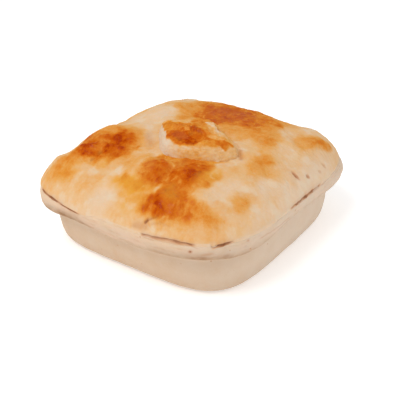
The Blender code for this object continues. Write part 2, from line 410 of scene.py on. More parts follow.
# %% Patches, in millimetres seen from above: x, y, two radii, turn, level, softness
PATCHES = (
    ("back of the crown", 22, 0, 15, 23, 0, 0.60, 0.40),
    ("back, towards the hump", 20, 17, 10, 7, 0, 0.50, 0.45),
    ("back, towards the right", 19, -16, 15, 7, 0, 0.58, 0.45),
    ("its darker middle", 22.5, -13, 9, 5, 0, 0.70, 0.50),
    ("back slope", 36, 0, 7, 17, 0, 0.58, 0.50),
    ("back ridge", 28, 1, 7, 14, 0, 0.64, 0.45),
    ("orange by the square", 9, 11, 6, 3.2, 20, 0.50, 0.50),
    ("light orange, right of it", 8, -12, 6, 5, 20, 0.47, 0.50),
    ("light brown, far right", 27, -24, 6, 3, 0, 0.50, 0.60),
    ("halo right of the blister", -14, 21, 5, 8, 0, 0.44, 0.60),
    ("brown blister", -26.8, 21, 10.3, 10, 20, 0.78, 0.30),
    ("its dark middle", -23.5, 19.5, 4.6, 4.5, 20, 0.96, 0.45),
    ("its dark foot", -31, 17.6, 6.5, 4.6, 0, 0.90, 0.45),
    ("its orange shoulder", -34, 26, 4.5, 5.0, 0, 0.92, 0.45),
    ("brown under the shoulder", -30.5, 14.3, 3.2, 2.4, 0, 0.82, 0.50),
    ("its lighter right side", -19.5, 25.5, 4, 4, 0, 0.50, 0.60),
    ("its orange skirt", -25, 10.8, 7.0, 2.3, 8, 0.58, 0.60),
    ("its crown", -25, 33, 5, 4, 0, 0.68, 0.50),
    ("its lighter band", -30.4, 23.2, 5.0, 2.2, 0, 0.64, 0.50),
    ("its duller left side", -38.4, 22, 2.2, 2.2, 0, 0.46, 0.50),
    ("its lighter shoulder", -23, 28.5, 4, 3, 0, 0.54, 0.60),
    ("its pale front", -37.5, 15.5, 3.5, 3, 0, 0.38, 0.60),
    ("left corner, golden", -47, 31, 6, 8, 0, 0.39, 0.55),
    ("left corner, orange", -43, 28, 4.5, 6, 0, 0.56, 0.50),
    ("left side", -46, 14, 6, 5, 0, 0.38, 0.60),
    ("pale fold by the corner", -41, 18, 1.8, 5.5, 10, 0.30, 0.60),
    ("left middle", -32.5, 5, 6.0, 4.2, 0, 0.45, 0.60),
    ("pale behind the yellow", -41.5, 7.5, 4.6, 2.6, 0, 0.20, 0.60),
    ("yellow band", -42.2, -2.2, 2.9, 8.6, 0, 0.54, 0.45),
    ("its olive end", -40.8, 2.4, 2.0, 2.0, 0, 0.64, 0.50),
    ("golden below it", -47.6, -4, 2.4, 5, 0, 0.43, 0.60),
    ("golden by the front rim", -51.0, -8.0, 2.2, 5, 0, 0.44, 0.60),
    ("yellow by the knob", -46, -9.5, 2.2, 2.8, 0, 0.50, 0.60),
    ("its deepest part", -41, -8, 2.5, 4, 0, 0.62, 0.50),
    ("front blister, left lobe", -33.8, -7.4, 6.2, 6.2, 0, 0.76, 0.35),
    ("its dark side", -36.6, -11.4, 3.6, 2.4, 10, 0.74, 0.50),
    ("orange above it", -28.5, -2.0, 5.0, 2.4, 0, 0.56, 0.50),
    ("golden behind it", -23.4, -5.6, 3.0, 4.4, 0, 0.66, 0.45),
    ("front blister, right lobe", -29.3, -17.2, 8.0, 6.6, -10, 0.77, 0.32),
    ("its back end", -22.8, -12.8, 3.0, 3.0, 0, 0.74, 0.50),
    ("its right edge", -20.2, -17.2, 2.2, 2.6, 0, 0.66, 0.50),
    ("its lighter foot", -24.5, -20.5, 3.4, 2.6, 0, 0.66, 0.50),
    ("its lighter top", -27.2, -10.2, 2.4, 1.3, 0, 0.58, 0.60),
    ("its dark heart", -34.2, -15.8, 3.4, 2.8, 0, 0.88, 0.50),
    ("its softer middle", -27.5, -18.5, 3.2, 3, 0, 0.76, 0.50),
    ("its dark toe", -33, -22.4, 3.4, 2.8, 20, 0.92, 0.50),
    ("its golden foot", -30.5, -25.5, 6, 2.0, -10, 0.64, 0.60),
    ("toe of the right lobe", -31.6, -21.4, 3.6, 2.2, 0, 0.90, 0.50),
    ("orange between the blisters", -38.4, -21.6, 3.0, 2.4, 20, 0.66, 0.50),
    ("golden before the square", -15.8, -20.2, 5.2, 2.4, -22, 0.60, 0.50),
    ("orange before the lobes", -41, -14, 4, 3.2, 10, 0.66, 0.50),
    ("brown between the lobes", -36.4, -14.8, 2.8, 3.2, 0, 0.80, 0.50),
    ("brown knob", -46.5, -16.4, 3, 5.2, 30, 0.86, 0.40),
    ("below the tip", -45.5, -23.5, 3.0, 2.6, 0, 0.68, 0.50),
    ("left of the knob", -50.6, -16.5, 1.8, 2.2, 0, 0.62, 0.50),
    ("its dark tip", -45.4, -19.3, 3.0, 3.2, 0, 1.00, 0.50),
    ("foot of the knob", -42, -24, 2.6, 3.8, 0, 0.84, 0.50),
    ("pale spot above it", -41.8, -14.1, 2.0, 1.7, 0, 0.30, 0.60),
    ("brown beside it", -42.2, -18.6, 4.2, 2.8, 0, 0.88, 0.50),
    ("mottled front", -46, -26, 5, 6, 20, 0.57, 0.50),
    ("orange above it", -44.4, -23.2, 2.8, 2.2, 0, 0.74, 0.50),
    ("its brown streak", -42.8, -31, 3.0, 4.8, 10, 0.68, 0.50),
    ("golden before the crack", -46, -33, 3, 4, 20, 0.50, 0.60),
    ("gold line behind the pit", -50, -21.5, 1.3, 2.6, 0, 0.56, 0.50),
    ("front corner, left", -42, -35, 4.5, 4, 0, 0.52, 0.60),
    ("front corner, right", -29, -38.8, 7, 3.0, -8, 0.44, 0.60),
    ("right swelling", -6.6, -33.7, 7.5, 3.8, -4, 0.49, 0.60),
    ("behind the right swelling", 3, -30, 5, 2.5, 0, 0.40, 0.60),
    ("its orange end", -4.5, -32, 3.6, 2.6, 0, 0.55, 0.55),
    ("back swelling", 9, -26, 5.5, 4, 0, 0.53, 0.60),
    ("right corner, pale orange", 17, -36, 4.5, 3, 0, 0.40, 0.55),
    ("right corner, brown", 26.8, -37.4, 8.6, 2.9, -28, 0.58, 0.40),
    ("its faint back", 21, -34.6, 4.5, 2.2, -20, 0.44, 0.50),
    ("its dark end", 31, -40, 5, 2.2, -20, 0.62, 0.50),
    ("behind the left corner", -36, 38, 5, 4, 0, 0.34, 0.50),
    ("far side, golden", 2, 38, 12, 4, 0, 0.40, 0.60),
    ("far side, left", -14, 40, 6, 3, 0, 0.46, 0.60),
    ("far corner, orange", 36, 30, 8, 6, -35, 0.54, 0.50),
    ("far corner, brown", 34, 29, 4, 3, -35, 0.70, 0.60),
    ("far side, right", 46, -8, 3.5, 8, 0, 0.44, 0.60),
    ("pale by the left side", -50, 5, 4.0, 3.6, 0, 0.12, 0.60),
    ("pale before the corner", -33, -31.5, 6, 3, 10, 0.24, 0.60),
    ("pale in the middle front", -26, -33.8, 7, 2.6, 0, 0.17, 0.60),
    ("golden left of it", -36, -34.5, 2.6, 2.2, 0, 0.38, 0.60),
    ("pale right of it", -15.5, -40.4, 5.0, 3.0, 0, 0.14, 0.60),
    ("pale on the hump", 2, 24, 10, 6, 20, 0.20, 0.60),
    ("pale beside the hump", 8, 20, 5, 4, 0, 0.20, 0.60),
    ("pale before the blister", -20.5, 6.2, 5, 3, 30, 0.30, 0.60),
    ("pale beside the square", -13, 12, 7, 3, 38, 0.27, 0.60),
    ("pale along the right side", 12, -42, 14, 3, 0, 0.25, 0.60),
    ("pale swelling's foot", 4.5, -37.8, 8, 2.8, 0, 0.28, 0.60),
    ("pale front rim", -50, -3.5, 2.4, 5.5, 0, 0.32, 0.60),
    ("pale behind the crown", 28, 24, 8, 5, 0, 0.22, 0.60),
    ("pale near the right corner", 12.5, -33.5, 4.5, 3, 0, 0.20, 0.60),
    ("pale to the right", 24, -27, 7, 3, 0, 0.30, 0.60),
    ("spot at the right", 26, -22, 2.2, 1.8, 0, 0.66, 0.60),
    ("brown by the hump", 14.5, 9.5, 3, 2.4, 0, 0.72, 0.60),
    ("golden over the front", -18.5, 8.5, 3, 5, -35, 0.40, 0.60),
)
EXTRA_SOFTNESS = 0.12
# One patch ends in a crisp line where the sheet folded, so it is drawn by its outline.
BACK_PATCH = ((8, -4.5), (10, 3), (13, 7), (19, 10), (25, 13), (33, 8), (34, -4), (31, -10),
              (24, -9.5), (18, -6.5), (13, -5.5))
BACK_PATCH_LEVEL = 0.73
BACK_PATCH_SOFTNESS = 1.6
CRUST_LEVEL = 0.27
CRUST_MOTTLE = 0.13

# %% [markdown]
# ## Fine relief of the lid
# Seen close, baked pastry isn't smooth. It has soft puffs a centimetre wide, wrinkles where
# the skin shrank, thin flakes whose torn edges stand up as small steps, short breaks in the
# browned skin, and bubbles no wider than a grain of rice. They are added along the surface's
# own direction as real relief, since a light from the side has to catch them.

# %% Flat view of the lid and the brush strokes
points = read_points(lid)
normals = read_normals(lid)
flat = flattened(points)
stir = stirred(stirred(flat, 7.0, 1.8, 3), 2.2, 0.5, 9)
light_stir = stirred(flat, 1.4, 0.3, 97)

bake = CRUST_LEVEL + CRUST_MOTTLE * lumps(flat, 9.0, 21)
for name, x, y, radius_x, radius_y, turned, level, softness in PATCHES:
    cover = stroke(stir, x, y, radius_x, radius_y, turned, softness + EXTRA_SOFTNESS)
    bake = painted(bake, cover, level)
cover = smooth_step(0.5 + within(stir, BACK_PATCH) / BACK_PATCH_SOFTNESS)
bake = painted(bake, cover, BACK_PATCH_LEVEL)
print("browning runs from", round(bake.min(), 2), "to", round(bake.max(), 2))

# %% Named creases and folds: start, end, width, height in millimetres
FOLDS = (
    ("between the front lobes", (-40, -13.5), (-31, -11.5), 1.3, -0.55),
    ("between the front lobes, inner", (-31, -11.5), (-24, -12.5), 1.5, -0.45),
    ("across the left lobe", (-37, -3.5), (-33, -7.5), 0.9, -0.30),
    ("under the right lobe", (-38, -23), (-30, -27), 1.4, -0.35),
    ("front fold", (-51.2, -16.0), (-49.0, -18.9), 0.6, -0.40),
    ("torn flake", (-50.6, -17.6), (-49.6, -20.4), 0.5, 0.38),
    ("torn flake, far end", (-49.6, -20.4), (-49.1, -24.4), 0.5, 0.34),
    ("beneath the torn flake", (-51.5, -18.4), (-50.4, -21.0), 0.6, -0.30),
    ("beneath its far end", (-50.4, -21.0), (-50.0, -24.8), 0.6, -0.25),
    ("crest of the left lobe", (-30.6, -4.7), (-37.3, -10.2), 0.6, 0.32),
    ("crack by the blister", (-36, 20.6), (-31.5, 20.3), 0.6, -0.45),
    ("fold on the blister", (-33, 30), (-27, 15), 1.2, 0.35),
    ("hollow on the blister", (-29.5, 27), (-24.5, 14), 1.2, -0.30),
    ("left of the square", (-25.0, 2.5), (-13.5, 12.9), 1.1, -0.22),
    ("right of the square", (-0.8, -18.4), (4.2, -12.4), 1.3, -0.22),
    ("before the square", (-3.9, -23.2), (-7.6, -26.0), 0.9, -0.30),
    ("right side fold", (-14, -39), (-2, -36), 1.3, -0.30),
    ("back fold", (6.5, -5.5), (20, 3), 1.2, -0.35),
    ("back ridge", (20, -12), (27, 12), 1.8, 0.35),
    ("right corner fold", (22, -40), (34, -43), 1.0, -0.35),
    ("left rim fold", (-51, 12), (-45, 4), 1.4, -0.30),
)
# Pits and dips: x, y, two radii, turn, height.
PITS = (
    ("pit in the right side", 2.5, -42.8, 0.7, 1.5, 0, -0.70),
    ("pit near the rim", 8.3, -45.1, 1.1, 0.8, 0, -0.55),
    ("pit by the corner", 21.4, -45.2, 0.9, 1.0, 0, -0.50),
    ("second pit by the corner", 16.6, -46.0, 1.0, 0.6, 0, -0.35),
    ("pit at the front rim", -51.2, -16.0, 0.8, 0.7, 0, -0.28),
    ("pit on the blister", -33.4, 19.9, 1.3, 1.0, 0, -0.32),
    ("pit beside it", -37.1, 20.4, 0.9, 0.8, 0, -0.35),
    ("dip by the far shoulder", 31, -24.5, 2.2, 4.0, 0, -0.45),
)

# %% Relief: heights and widths in millimetres
PUFF, PUFF_WIDTH = 0.26, 8.5
WRINKLE, WRINKLE_WIDTH = 0.24, 5.2
FLAKE, FLAKE_WIDTH = 0.20, 10.0
FLAKE_STEPS, FLAKE_STEEPNESS = 3.2, 5.0
GRAIN, GRAIN_WIDTH = 0.035, 1.1
BROWN_FROM, BROWN_RANGE = 0.35, 0.4
EDGE_FADE = 0.06
WIDE_FOLD = 0.65

edge = smooth_step((1 - share) / EDGE_FADE)
near, next_near = cells(stirred(flat, 4.0, 1.4, 31), PUFF_WIDTH, 5)
puff = PUFF * (smooth_step((next_near - near) * 1.6) - 0.5)

browned = ramp(bake, BROWN_FROM, BROWN_RANGE)
wander = stirred(flat, 5.0, 2.0, 41)
crest = ridges(wander, WRINKLE_WIDTH, 12)
wrinkle = WRINKLE * (crest ** 3 - 0.25) * (0.45 + 0.75 * browned)

# A slope is cut into steps: past each torn edge it rises steeply, and then sinks slowly.
slope = FLAKE_STEPS * lumps(wander, FLAKE_WIDTH, 51, 4)
past_edge = slope - np.floor(slope)
flaky = smooth_step(lumps(flat, 14.0, 61, 2) * 1.6 + 0.55)
flake = FLAKE * (smooth_step(past_edge * FLAKE_STEEPNESS) - past_edge) * flaky

grain = GRAIN * lumps(flat, GRAIN_WIDTH, 71, 2)

named = np.zeros(len(points))
for name, start, end, width, height in FOLDS:
    named += height * line(stir if width > WIDE_FOLD else light_stir, start, end, width)
for name, x, y, radius_x, radius_y, turned, height in PITS:
    named += height * np.exp(-spot(light_stir, x, y, radius_x, radius_y, turned) ** 2)

# %% Short breaks in the browned skin, where the pale layer under it shows; painted paler, they also serve as painted glints
BREAKS = 60
BREAK_AREA = ((-50, -44), (50, 44))
BREAK_LENGTHS = (0.6, 2.0)
BREAK_WIDTHS = (0.28, 0.42)
BREAK_HEADING, HEADING_SPREAD = 0.5, 0.9
BREAK_HEIGHT = 0.10
BROWN_ENOUGH = 0.4


def nearest_to(points, x, y):
    """Which point lies nearest to a place seen from above."""
    return np.argmin((points[:, 0] - x) ** 2 + (points[:, 1] - y) ** 2)


chance = np.random.default_rng(7)
torn_stir = stirred(flat, 1.8, 0.8, 99)
breaks_and_glints = np.zeros(len(points))
placed = 0
while placed < BREAKS:
    x, y = chance.uniform(*BREAK_AREA)
    length = chance.uniform(*BREAK_LENGTHS)
    heading = chance.normal(BREAK_HEADING, HEADING_SPREAD)
    width = chance.uniform(*BREAK_WIDTHS)
    if browned[nearest_to(flat, x, y)] < BROWN_ENOUGH:
        continue
    placed += 1
    end = (x + length * math.cos(heading), y + length * math.sin(heading))
    breaks_and_glints = np.maximum(breaks_and_glints, line(torn_stir, (x, y), end, width))
print("breaks:", placed)

# %% Bubbles, thickest where the pastry is brown
BUBBLES = 420
BUBBLE_AREA = ((-52, -46), (52, 46))
BUBBLE_RADII = (0.45, 1.35)
BUBBLE_STEEPNESS = (0.10, 0.22)
CHANCE_IF_PALE, CHANCE_IF_BROWN = 0.05, 0.75
RELIEF_AT_RIM = 0.35

tries = chance.uniform(*BUBBLE_AREA, (BUBBLES * 4, 2))
brown_there = browned[[nearest_to(flat, x, y) for x, y in tries]]
lucky = chance.uniform(0, 1, len(tries)) < CHANCE_IF_PALE + CHANCE_IF_BROWN * brown_there ** 1.5
bubble = np.zeros(len(points))
for x, y in tries[lucky][:BUBBLES]:
    radius = chance.uniform(*BUBBLE_RADII)
    height = radius * chance.uniform(*BUBBLE_STEEPNESS)
    close = np.abs(flat[:, 0] - x) + np.abs(flat[:, 1] - y) < 3 * radius
    away = np.hypot(flat[close, 0] - x, flat[close, 1] - y) / radius
    bubble[close] = np.maximum(bubble[close], height * np.exp(-away ** 2.6))
print("bubbles:", min(lucky.sum(), BUBBLES))

relief = (puff + named) * edge + wrinkle + flake + bubble + grain + BREAK_HEIGHT * breaks_and_glints
points += normals * relief[:, None] * (RELIEF_AT_RIM + (1 - RELIEF_AT_RIM) * edge)[:, None]
write_points(lid, points)
print("relief in mm:", round(relief.min(), 2), "to", round(relief.max(), 2))

# %% [markdown]
# ## Browning follows the relief
# Crests and bubbles catch more heat than the hollows beside them, so the relief is added to
# the painted browning: up for a crest, down for a crease. Yellow glaze runs the other way, and
# pools in the dips. A dusting of flour is left on the palest dough.

# %% Glaze, flour that is partly painted shade, painted sheen and stains: x, y, two radii, turn, level
GLAZED = (
    ("yellow band", -42.2, -2.2, 3.3, 9, 0, 0.95),
    ("beside the knob", -41, -18.5, 3, 2.5, 0, 0.7),
    ("foot of the right lobe", -27.5, -24.5, 6, 2.6, -10, 0.65),
    ("before the square", -13.5, -21, 8, 3.2, -20, 0.55),
    ("behind the lobes", -22.8, -6.5, 2.8, 6.5, 0, 0.40),
    ("front of the blister", -36, 15.5, 4, 3, 0, 0.25),
    ("left corner", -44, 26, 4, 5, 0, 0.30),
    ("front rim", -47.5, -6, 3, 6, 0, 0.55),
    ("far side", 12, 36, 7, 3, 0, 0.45),
)
FLOURED_AND_SHADED = (
    ("left side", -50, 6, 4, 5, 0, 0.75),
    ("fold left of the blister", -42, 20.5, 1.6, 5, 10, 0.40),
    ("left of the square", -14, 11, 8, 2.4, 40, 0.8),
    ("hump", 6, 21, 7, 4, 20, 0.7),
    ("middle front", -33, -31.5, 6, 3, 0, 0.55),
    # On the right side the flour is also painted shade: the flank greyer, as the light falls from
    # the left.
    ("right side", 12, -43.5, 22, 3.6, 0, 0.9),
    ("front rim", -46, -33, 3, 3, 0, 0.4),
    ("far hump", -4, 32, 6, 4, 0, 0.5),
)
# Painted sheen: the browned tops are mixed towards a dull pinkish brown, as the reflection of the
# bright surroundings.
SHEEN_PATCHES = (
    ("back of the crown", 24, 0, 10, 13, 0, 0.9),
    ("back, by the square", 14, -2, 5, 4, 20, 0.8),
    ("crown of the blister", -26, 33, 9, 3.5, 0, 0.8),
    ("left lobe's top", -32, -3, 5, 2.2, 0, 0.7),
    ("right lobe's top", -27, -12, 4, 2.0, 0, 0.5),
    ("far corner", 35, 32, 6, 4, 0, 0.6),
)
STAINED = (
    ("pit in the right side", 2.6, -42.8, 0.8, 1.6, 0, 0.66),
    ("pit near the rim", 8.3, -45.1, 0.9, 0.6, 0, 0.62),
    ("pit by the corner", 21.4, -45.2, 0.7, 0.8, 0, 0.35),
    ("second pit by the corner", 16.6, -46.0, 0.8, 0.5, 0, 0.30),
    ("front fold's end", -51.2, -16.0, 0.9, 0.8, 0, 0.80),
    ("spot on the blister", -33.4, 19.9, 1.2, 0.9, 0, 0.55),
    ("spot beside it", -37.1, 20.4, 1.0, 0.8, 0, 0.50),
)
# Thin lines: start, end, width, level. Some are juice stains; those beneath the torn flake, beside
# the square and in the olive crease are painted shade.
STAIN_AND_SHADE_LINES = (
    ("olive at the front rim", (-53.2, -12.0), (-52.4, -16.6), 1.0, 0.34),
    ("front fold", (-51.2, -16.0), (-49.2, -18.6), 0.40, 0.60),
    ("beneath the torn flake", (-51.3, -18.2), (-50.2, -21.0), 0.30, 0.22),
    ("beneath its far end", (-50.2, -21.0), (-49.8, -24.6), 0.30, 0.16),
    ("right of the square", (-3.5, -22.0), (5.5, -7.5), 0.55, 0.22),
    ("left of the square", (-19.0, 7.2), (-12.5, 13.8), 1.30, 0.20),
    ("olive crease", (-5.0, -23.4), (-8.9, -26.0), 0.90, 0.52),
)
# How brown the last few millimetres before the rim are: turn in degrees, level.
RIM_LEVELS = (
    (0, 0.36), (60, 0.34), (120, 0.40), (142, 0.40), (152, 0.26), (166, 0.20), (176, 0.22),
    (184, 0.30), (193, 0.22), (203, 0.30), (224, 0.32), (238, 0.14), (256, 0.04), (290, 0.04),
    (305, 0.22), (325, 0.34), (360, 0.36))
# From which share of the way out they show, over what range, and how far they cover.
RIM_SHARE, RIM_RANGE, RIM_COVER = 0.90, 0.08, 0.75
# How much each kind of relief and noise changes the browning.
CREST_BAKE, FINE_BAKE, CLOUD_BAKE, BREAK_AND_GLINT_BAKE = 0.055, 0.08, 0.10, 0.18
FLOUR_STRENGTH, LOOSE_FLOUR = 0.6, 0.35


def brushed(table, stir, softness):
    """Strokes of one finish, the strongest winning where they overlap."""
    mask = np.zeros(len(stir))
    for name, x, y, radius_x, radius_y, turned, level in table:
        cover = stroke(stir, x, y, radius_x, radius_y, turned, softness)
        mask = np.maximum(mask, level * cover)
    return mask


def lined(table, stir):
    """Thin lines of one finish, the strongest winning where they overlap."""
    mask = np.zeros(len(stir))
    for name, start, end, width, level in table:
        mask = np.maximum(mask, level * line(stir, start, end, width))
    return mask


local = (wrinkle + flake + named * 0.6) / 0.25 + bubble / 0.12
fine = lumps(stir, 1.6, 81, 3)
bake += CREST_BAKE * local * (0.35 + browned) + FINE_BAKE * fine * (0.3 + browned)
bake += CLOUD_BAKE * lumps(flat, 3.5, 91, 2) * (0.45 + 0.8 * browned)
# The breaks are painted paler: torn skin, and painted highlights for small glints.
bake -= BREAK_AND_GLINT_BAKE * breaks_and_glints * browned
rim_level = read_turns(RIM_LEVELS, angle) + FINE_BAKE * fine
rim_fade = smooth_step((share - RIM_SHARE + 0.03 * lumps(flat, 6.0, 93, 2)) / RIM_RANGE)
bake = painted(bake, RIM_COVER * rim_fade, rim_level)
glaze = brushed(GLAZED, stir, 0.6) * (0.85 + 0.4 * fine)
dull = brushed(SHEEN_PATCHES, stir, 0.7)
gloss = browned * np.clip(local * 0.5 + bubble / 0.15 + 0.15, 0, 1)
flour = brushed(FLOURED_AND_SHADED, stir, 0.7) * (0.8 + 0.6 * fine)
loose_flour = LOOSE_FLOUR * smooth_step(lumps(flat, 6.0, 95, 3) * 2.0 - 0.3)
flour = FLOUR_STRENGTH * np.maximum(flour, loose_flour)
# Juice stains, and painted shade lines beside the square and beneath the flake.
stain = np.maximum(brushed(STAINED, light_stir, 0.5), lined(STAIN_AND_SHADE_LINES, light_stir))

# %% [markdown]
# ## The lid's edge
# The sheet ends in a thin edge that was pressed onto the rim of the case. Most of the way
# round the two have baked together. In four places a thin crack has opened along the edge,
# and towards the left corner the lid hangs down over the flange, with a dark line under it.
# The border of the sheet is extruded ring by ring: out to the rim, down its side, and in
# underneath. The rings run along the cracks, so that each is a clean groove and not a row of
# teeth.

# %% Cracks along the edge
# Turns in degrees and the crack's height at each, in millimetres; how wide it gapes, and what
# share of that only in its middle; how ragged it is; over how many degrees each end closes;
# how dark it is.
SEAM = lid_low[2] - 0.3
CRACKS = (
    ("left", (143, 147, 150, 153, 156, 160), (25.1, 24.9, 24.65, 24.45, 24.1, 23.55),
     1.4, 0.3, 0.05, (2.2, 3.0), 0.95),
    ("front", (195.5, 200, 204, 208, 212, 215.5), (24.60, 24.85, 25.25, 25.35, 25.0, 24.35),
     1.3, 0.1, 0.08, (1.2, 2.2), 0.76),
    ("near corner", (219, 221, 224, 228), (23.35, 23.75, 24.3, 24.7),
     1.3, 0.4, 0.12, (1.4, 3.0), 0.92),
    ("right", (257, 264, 272, 280, 288), (24.50, 24.60, 24.65, 24.40, 24.15),
     1.65, 0.6, 0.14, (3.0, 5.0), 0.80),
)
# Towards the left corner the lid hangs down over the flange, further and further: turns in
# degrees, and how far below the seam its edge is there.
DROOP = ((152, 0.0), (155, 0.10), (158, 0.35), (161, 0.65), (164, 0.85), (167, 1.05),
         (170, 0.80), (175, 0.0))
# Between these turns the line under the hanging edge fades out.
DROOP_LINE = (164.5, 168.0)
BEYOND_ENDS = 1.5


def cracked(angle):
    """How open the rim's crack is at an angle, its height there, its width and its darkness."""
    degrees = in_degrees(angle)
    opening = np.zeros(np.shape(degrees))
    level = np.full(np.shape(degrees), SEAM)
    gape = np.ones(np.shape(degrees))
    soil = np.zeros(np.shape(degrees))
    for name, turns, heights, wide, belly, ragged, ends, dark in CRACKS:
        inside = np.minimum((degrees - turns[0]) / ends[0], (turns[-1] - degrees) / ends[1])
        here = inside > -BEYOND_ENDS
        along = np.clip((degrees - turns[0]) / (turns[-1] - turns[0]), 0, 1)
        jag = ragged * (np.sin(degrees * 0.8) + 0.6 * np.sin(degrees * 1.9 + 1))
        wavering = 1 + 0.2 * np.sin(degrees * 0.9 + 2)
        level = np.where(here, np.interp(degrees, turns, heights) + jag, level)
        gape = np.where(here, wide * (1 - belly + belly * np.sin(np.pi * along)) * wavering, gape)
        soil = np.where(here, dark, soil)
        opening = np.maximum(opening, smooth_step(inside))
    return opening, level, gape, soil


def droop(angle):
    """How far the lid's edge hangs below the seam at an angle."""
    return read_turns(DROOP, angle)


def droop_line(angle):
    """How dark the painted shadow line under the hanging edge is at an angle, from 0 to 1."""
    start, end = DROOP_LINE
    fade = 1 - ramp(in_degrees(angle), start, end - start)
    return smooth_step(droop(angle) / 0.35) * fade


# %% Rings of the edge
# Each ring has an inset from the rim and a height in three states: baked on, measured from
# the seam; cracked, from the crack; hanging, from the low edge. Then how far it wanders, and
# its number. None stands for the baked state, kept RING_DROP lower for each ring past the
# crack.
EDGE_RINGS = (
    ((0.08, 0.85), (0.12, 0.44), (0.00, 0.95), 0.05, 1),
    ((-0.04, 0.52), (0.06, 0.24), (-0.24, 0.45), 0.05, 2),
    ((-0.05, 0.24), (0.44, 0.00), (-0.27, 0.16), 0.05, 3),
    ((-0.04, 0.02), (0.04, -0.26), (-0.16, 0.02), 0.05, 4),
    ((-0.02, -0.20), (-0.08, -0.52), (0.32, 0.02), 0.06, 5),
    ((0.04, -0.48), None, (0.60, -0.30), 0.06, 6),
    ((0.36, -0.90), None, (0.90, -0.60), 0.00, 7),
    ((1.20, -0.70), None, (1.50, -0.60), 0.00, 8),
    ((3.60, -0.35), None, (3.60, -0.35), 0.00, 9),
)
CRACK_RING, RING_DROP = 3, 0.28
FULL_HANG = 0.5
WANDER_WIDTH = 2.6


def ring_place(vertex, ring):
    """Where a border point goes for one ring of the edge."""
    baked, open_state, hanging, wander, number = ring
    angle = math.atan2(vertex.co.y, vertex.co.x)
    rim = float(at_angle(RIM_TABLE, angle))
    opening, crack_level, gape = (float(value) for value in cracked(angle)[:3])
    hang = float(droop(angle))
    hanging_share = float(smooth_step(hang / FULL_HANG))
    inset = baked[0]
    level = SEAM + baked[1]
    if open_state:
        inset += (open_state[0] - inset) * opening
        level += (crack_level + gape * open_state[1] - level) * opening
    else:
        below_crack = crack_level - RING_DROP * (number - CRACK_RING)
        level = min(level, level + (below_crack - level) * opening)
    inset += (hanging[0] - inset) * hanging_share
    level += (SEAM - hang + hanging[1] - level) * hanging_share
    along = Vector((math.cos(angle), math.sin(angle), 0)) * rim
    seed = Vector((0, 0, number * 9.1))
    uneven = wander * noise.fractal(along / WANDER_WIDTH + seed, 1.0, 2.0, 3)
    radius = rim - inset + uneven
    return Vector((math.cos(angle) * radius, math.sin(angle) * radius,
                   level + 0.5 * uneven)) * MM


select_only(lid)
bpy.ops.object.mode_set(mode="EDIT")
bpy.ops.mesh.select_mode(type="VERT")
bpy.ops.mesh.select_all(action="DESELECT")
bpy.ops.mesh.select_non_manifold()
top_count = len(points)
ring_of = []
for ring in EDGE_RINGS:
    bpy.ops.mesh.extrude_edges_move()
    edit = bmesh.from_edit_mesh(lid.data)
    for vertex in edit.verts:
        if vertex.select:
            vertex.co = ring_place(vertex, ring)
            ring_of.append(ring[-1])
    bmesh.update_edit_mesh(lid.data)
bpy.ops.mesh.edge_face_add()
bpy.ops.mesh.select_all(action="SELECT")
bpy.ops.mesh.normals_make_consistent(inside=False)
bpy.ops.object.mode_set(mode="OBJECT")
ring_of = np.array(ring_of)
print("lid:", triangles(lid), "triangles,", len(ring_of), "points in its edge")

# %% What the edge points are painted
# How far each ring is stained where a crack is open; and where the edge hangs, how dark its
# underside is painted, which is painted shadow with juice stain.
RING_STAIN_AND_SHADOW = {1: (0.15, 0.0), 2: (0.50, 0.0), 3: (0.66, 0.35), 4: (0.66, 0.75), 5: (0.45, 0.90),
              6: (0.10, 0.90), 7: (0.0, 0.80), 8: (0.0, 0.0), 9: (0.0, 0.0)}
EDGE_BAKE, EDGE_FLOUR, EDGE_SOIL = 0.12, 0.3, 0.10

edge_points = read_points(lid)[top_count:]
edge_angle = np.arctan2(edge_points[:, 1], edge_points[:, 0])
edge_crack, _, edge_gape, edge_soil = cracked(edge_angle)
border = np.flatnonzero(on_border)
order = np.argsort(angle[border])
edge_bake = np.interp(edge_angle, angle[border][order], bake[border][order], period=2 * math.pi)
baked_on = (ring_of > 1) * (1 - smooth_step(droop(edge_angle)))
edge_bake = painted(edge_bake, 0.7 * baked_on, EDGE_BAKE)
rim_noise = lumps(edge_points, 3.0, 101, 3)
crack_stain, hang_shadow_and_stain = np.array([RING_STAIN_AND_SHADOW[ring] for ring in ring_of]).T
crack_stain = crack_stain * edge_crack * edge_soil * (0.85 + 0.3 * edge_gape + 0.3 * rim_noise)
# Where the edge hangs, its underside is darkened: painted shadow with juice stain.
edge_stain_and_shadow = np.maximum(crack_stain, hang_shadow_and_stain * droop_line(edge_angle))
soiled = smooth_step(rim_noise * 1.5 - 0.1) * (ring_of > 2)
edge_stain_and_shadow = np.maximum(edge_stain_and_shadow, EDGE_SOIL * soiled)

none = np.zeros(len(edge_points))
write_shares(lid, bake=np.append(bake, edge_bake), gloss=np.append(gloss, none),
             glaze=np.append(glaze, none), dull=np.append(dull, none),
             flour=np.append(flour, none + EDGE_FLOUR), stain=np.append(stain, edge_stain_and_shadow))

# %% [markdown]
# ## The case
# The case is one block of pale, firm pastry: a slanting wall, and a rolled flange that hangs
# over it. The solid already has that form, so a merged copy of it is rounded by subdivision,
# and only the band of the flange is cut finer, because that is where the pressing of fingers
# and the edges of the rolled layers show.

# %% A rounded copy of the case, finer at its flange
FLANGE_BOTTOM = 16.6
FLANGE_INSIDE = 40.0

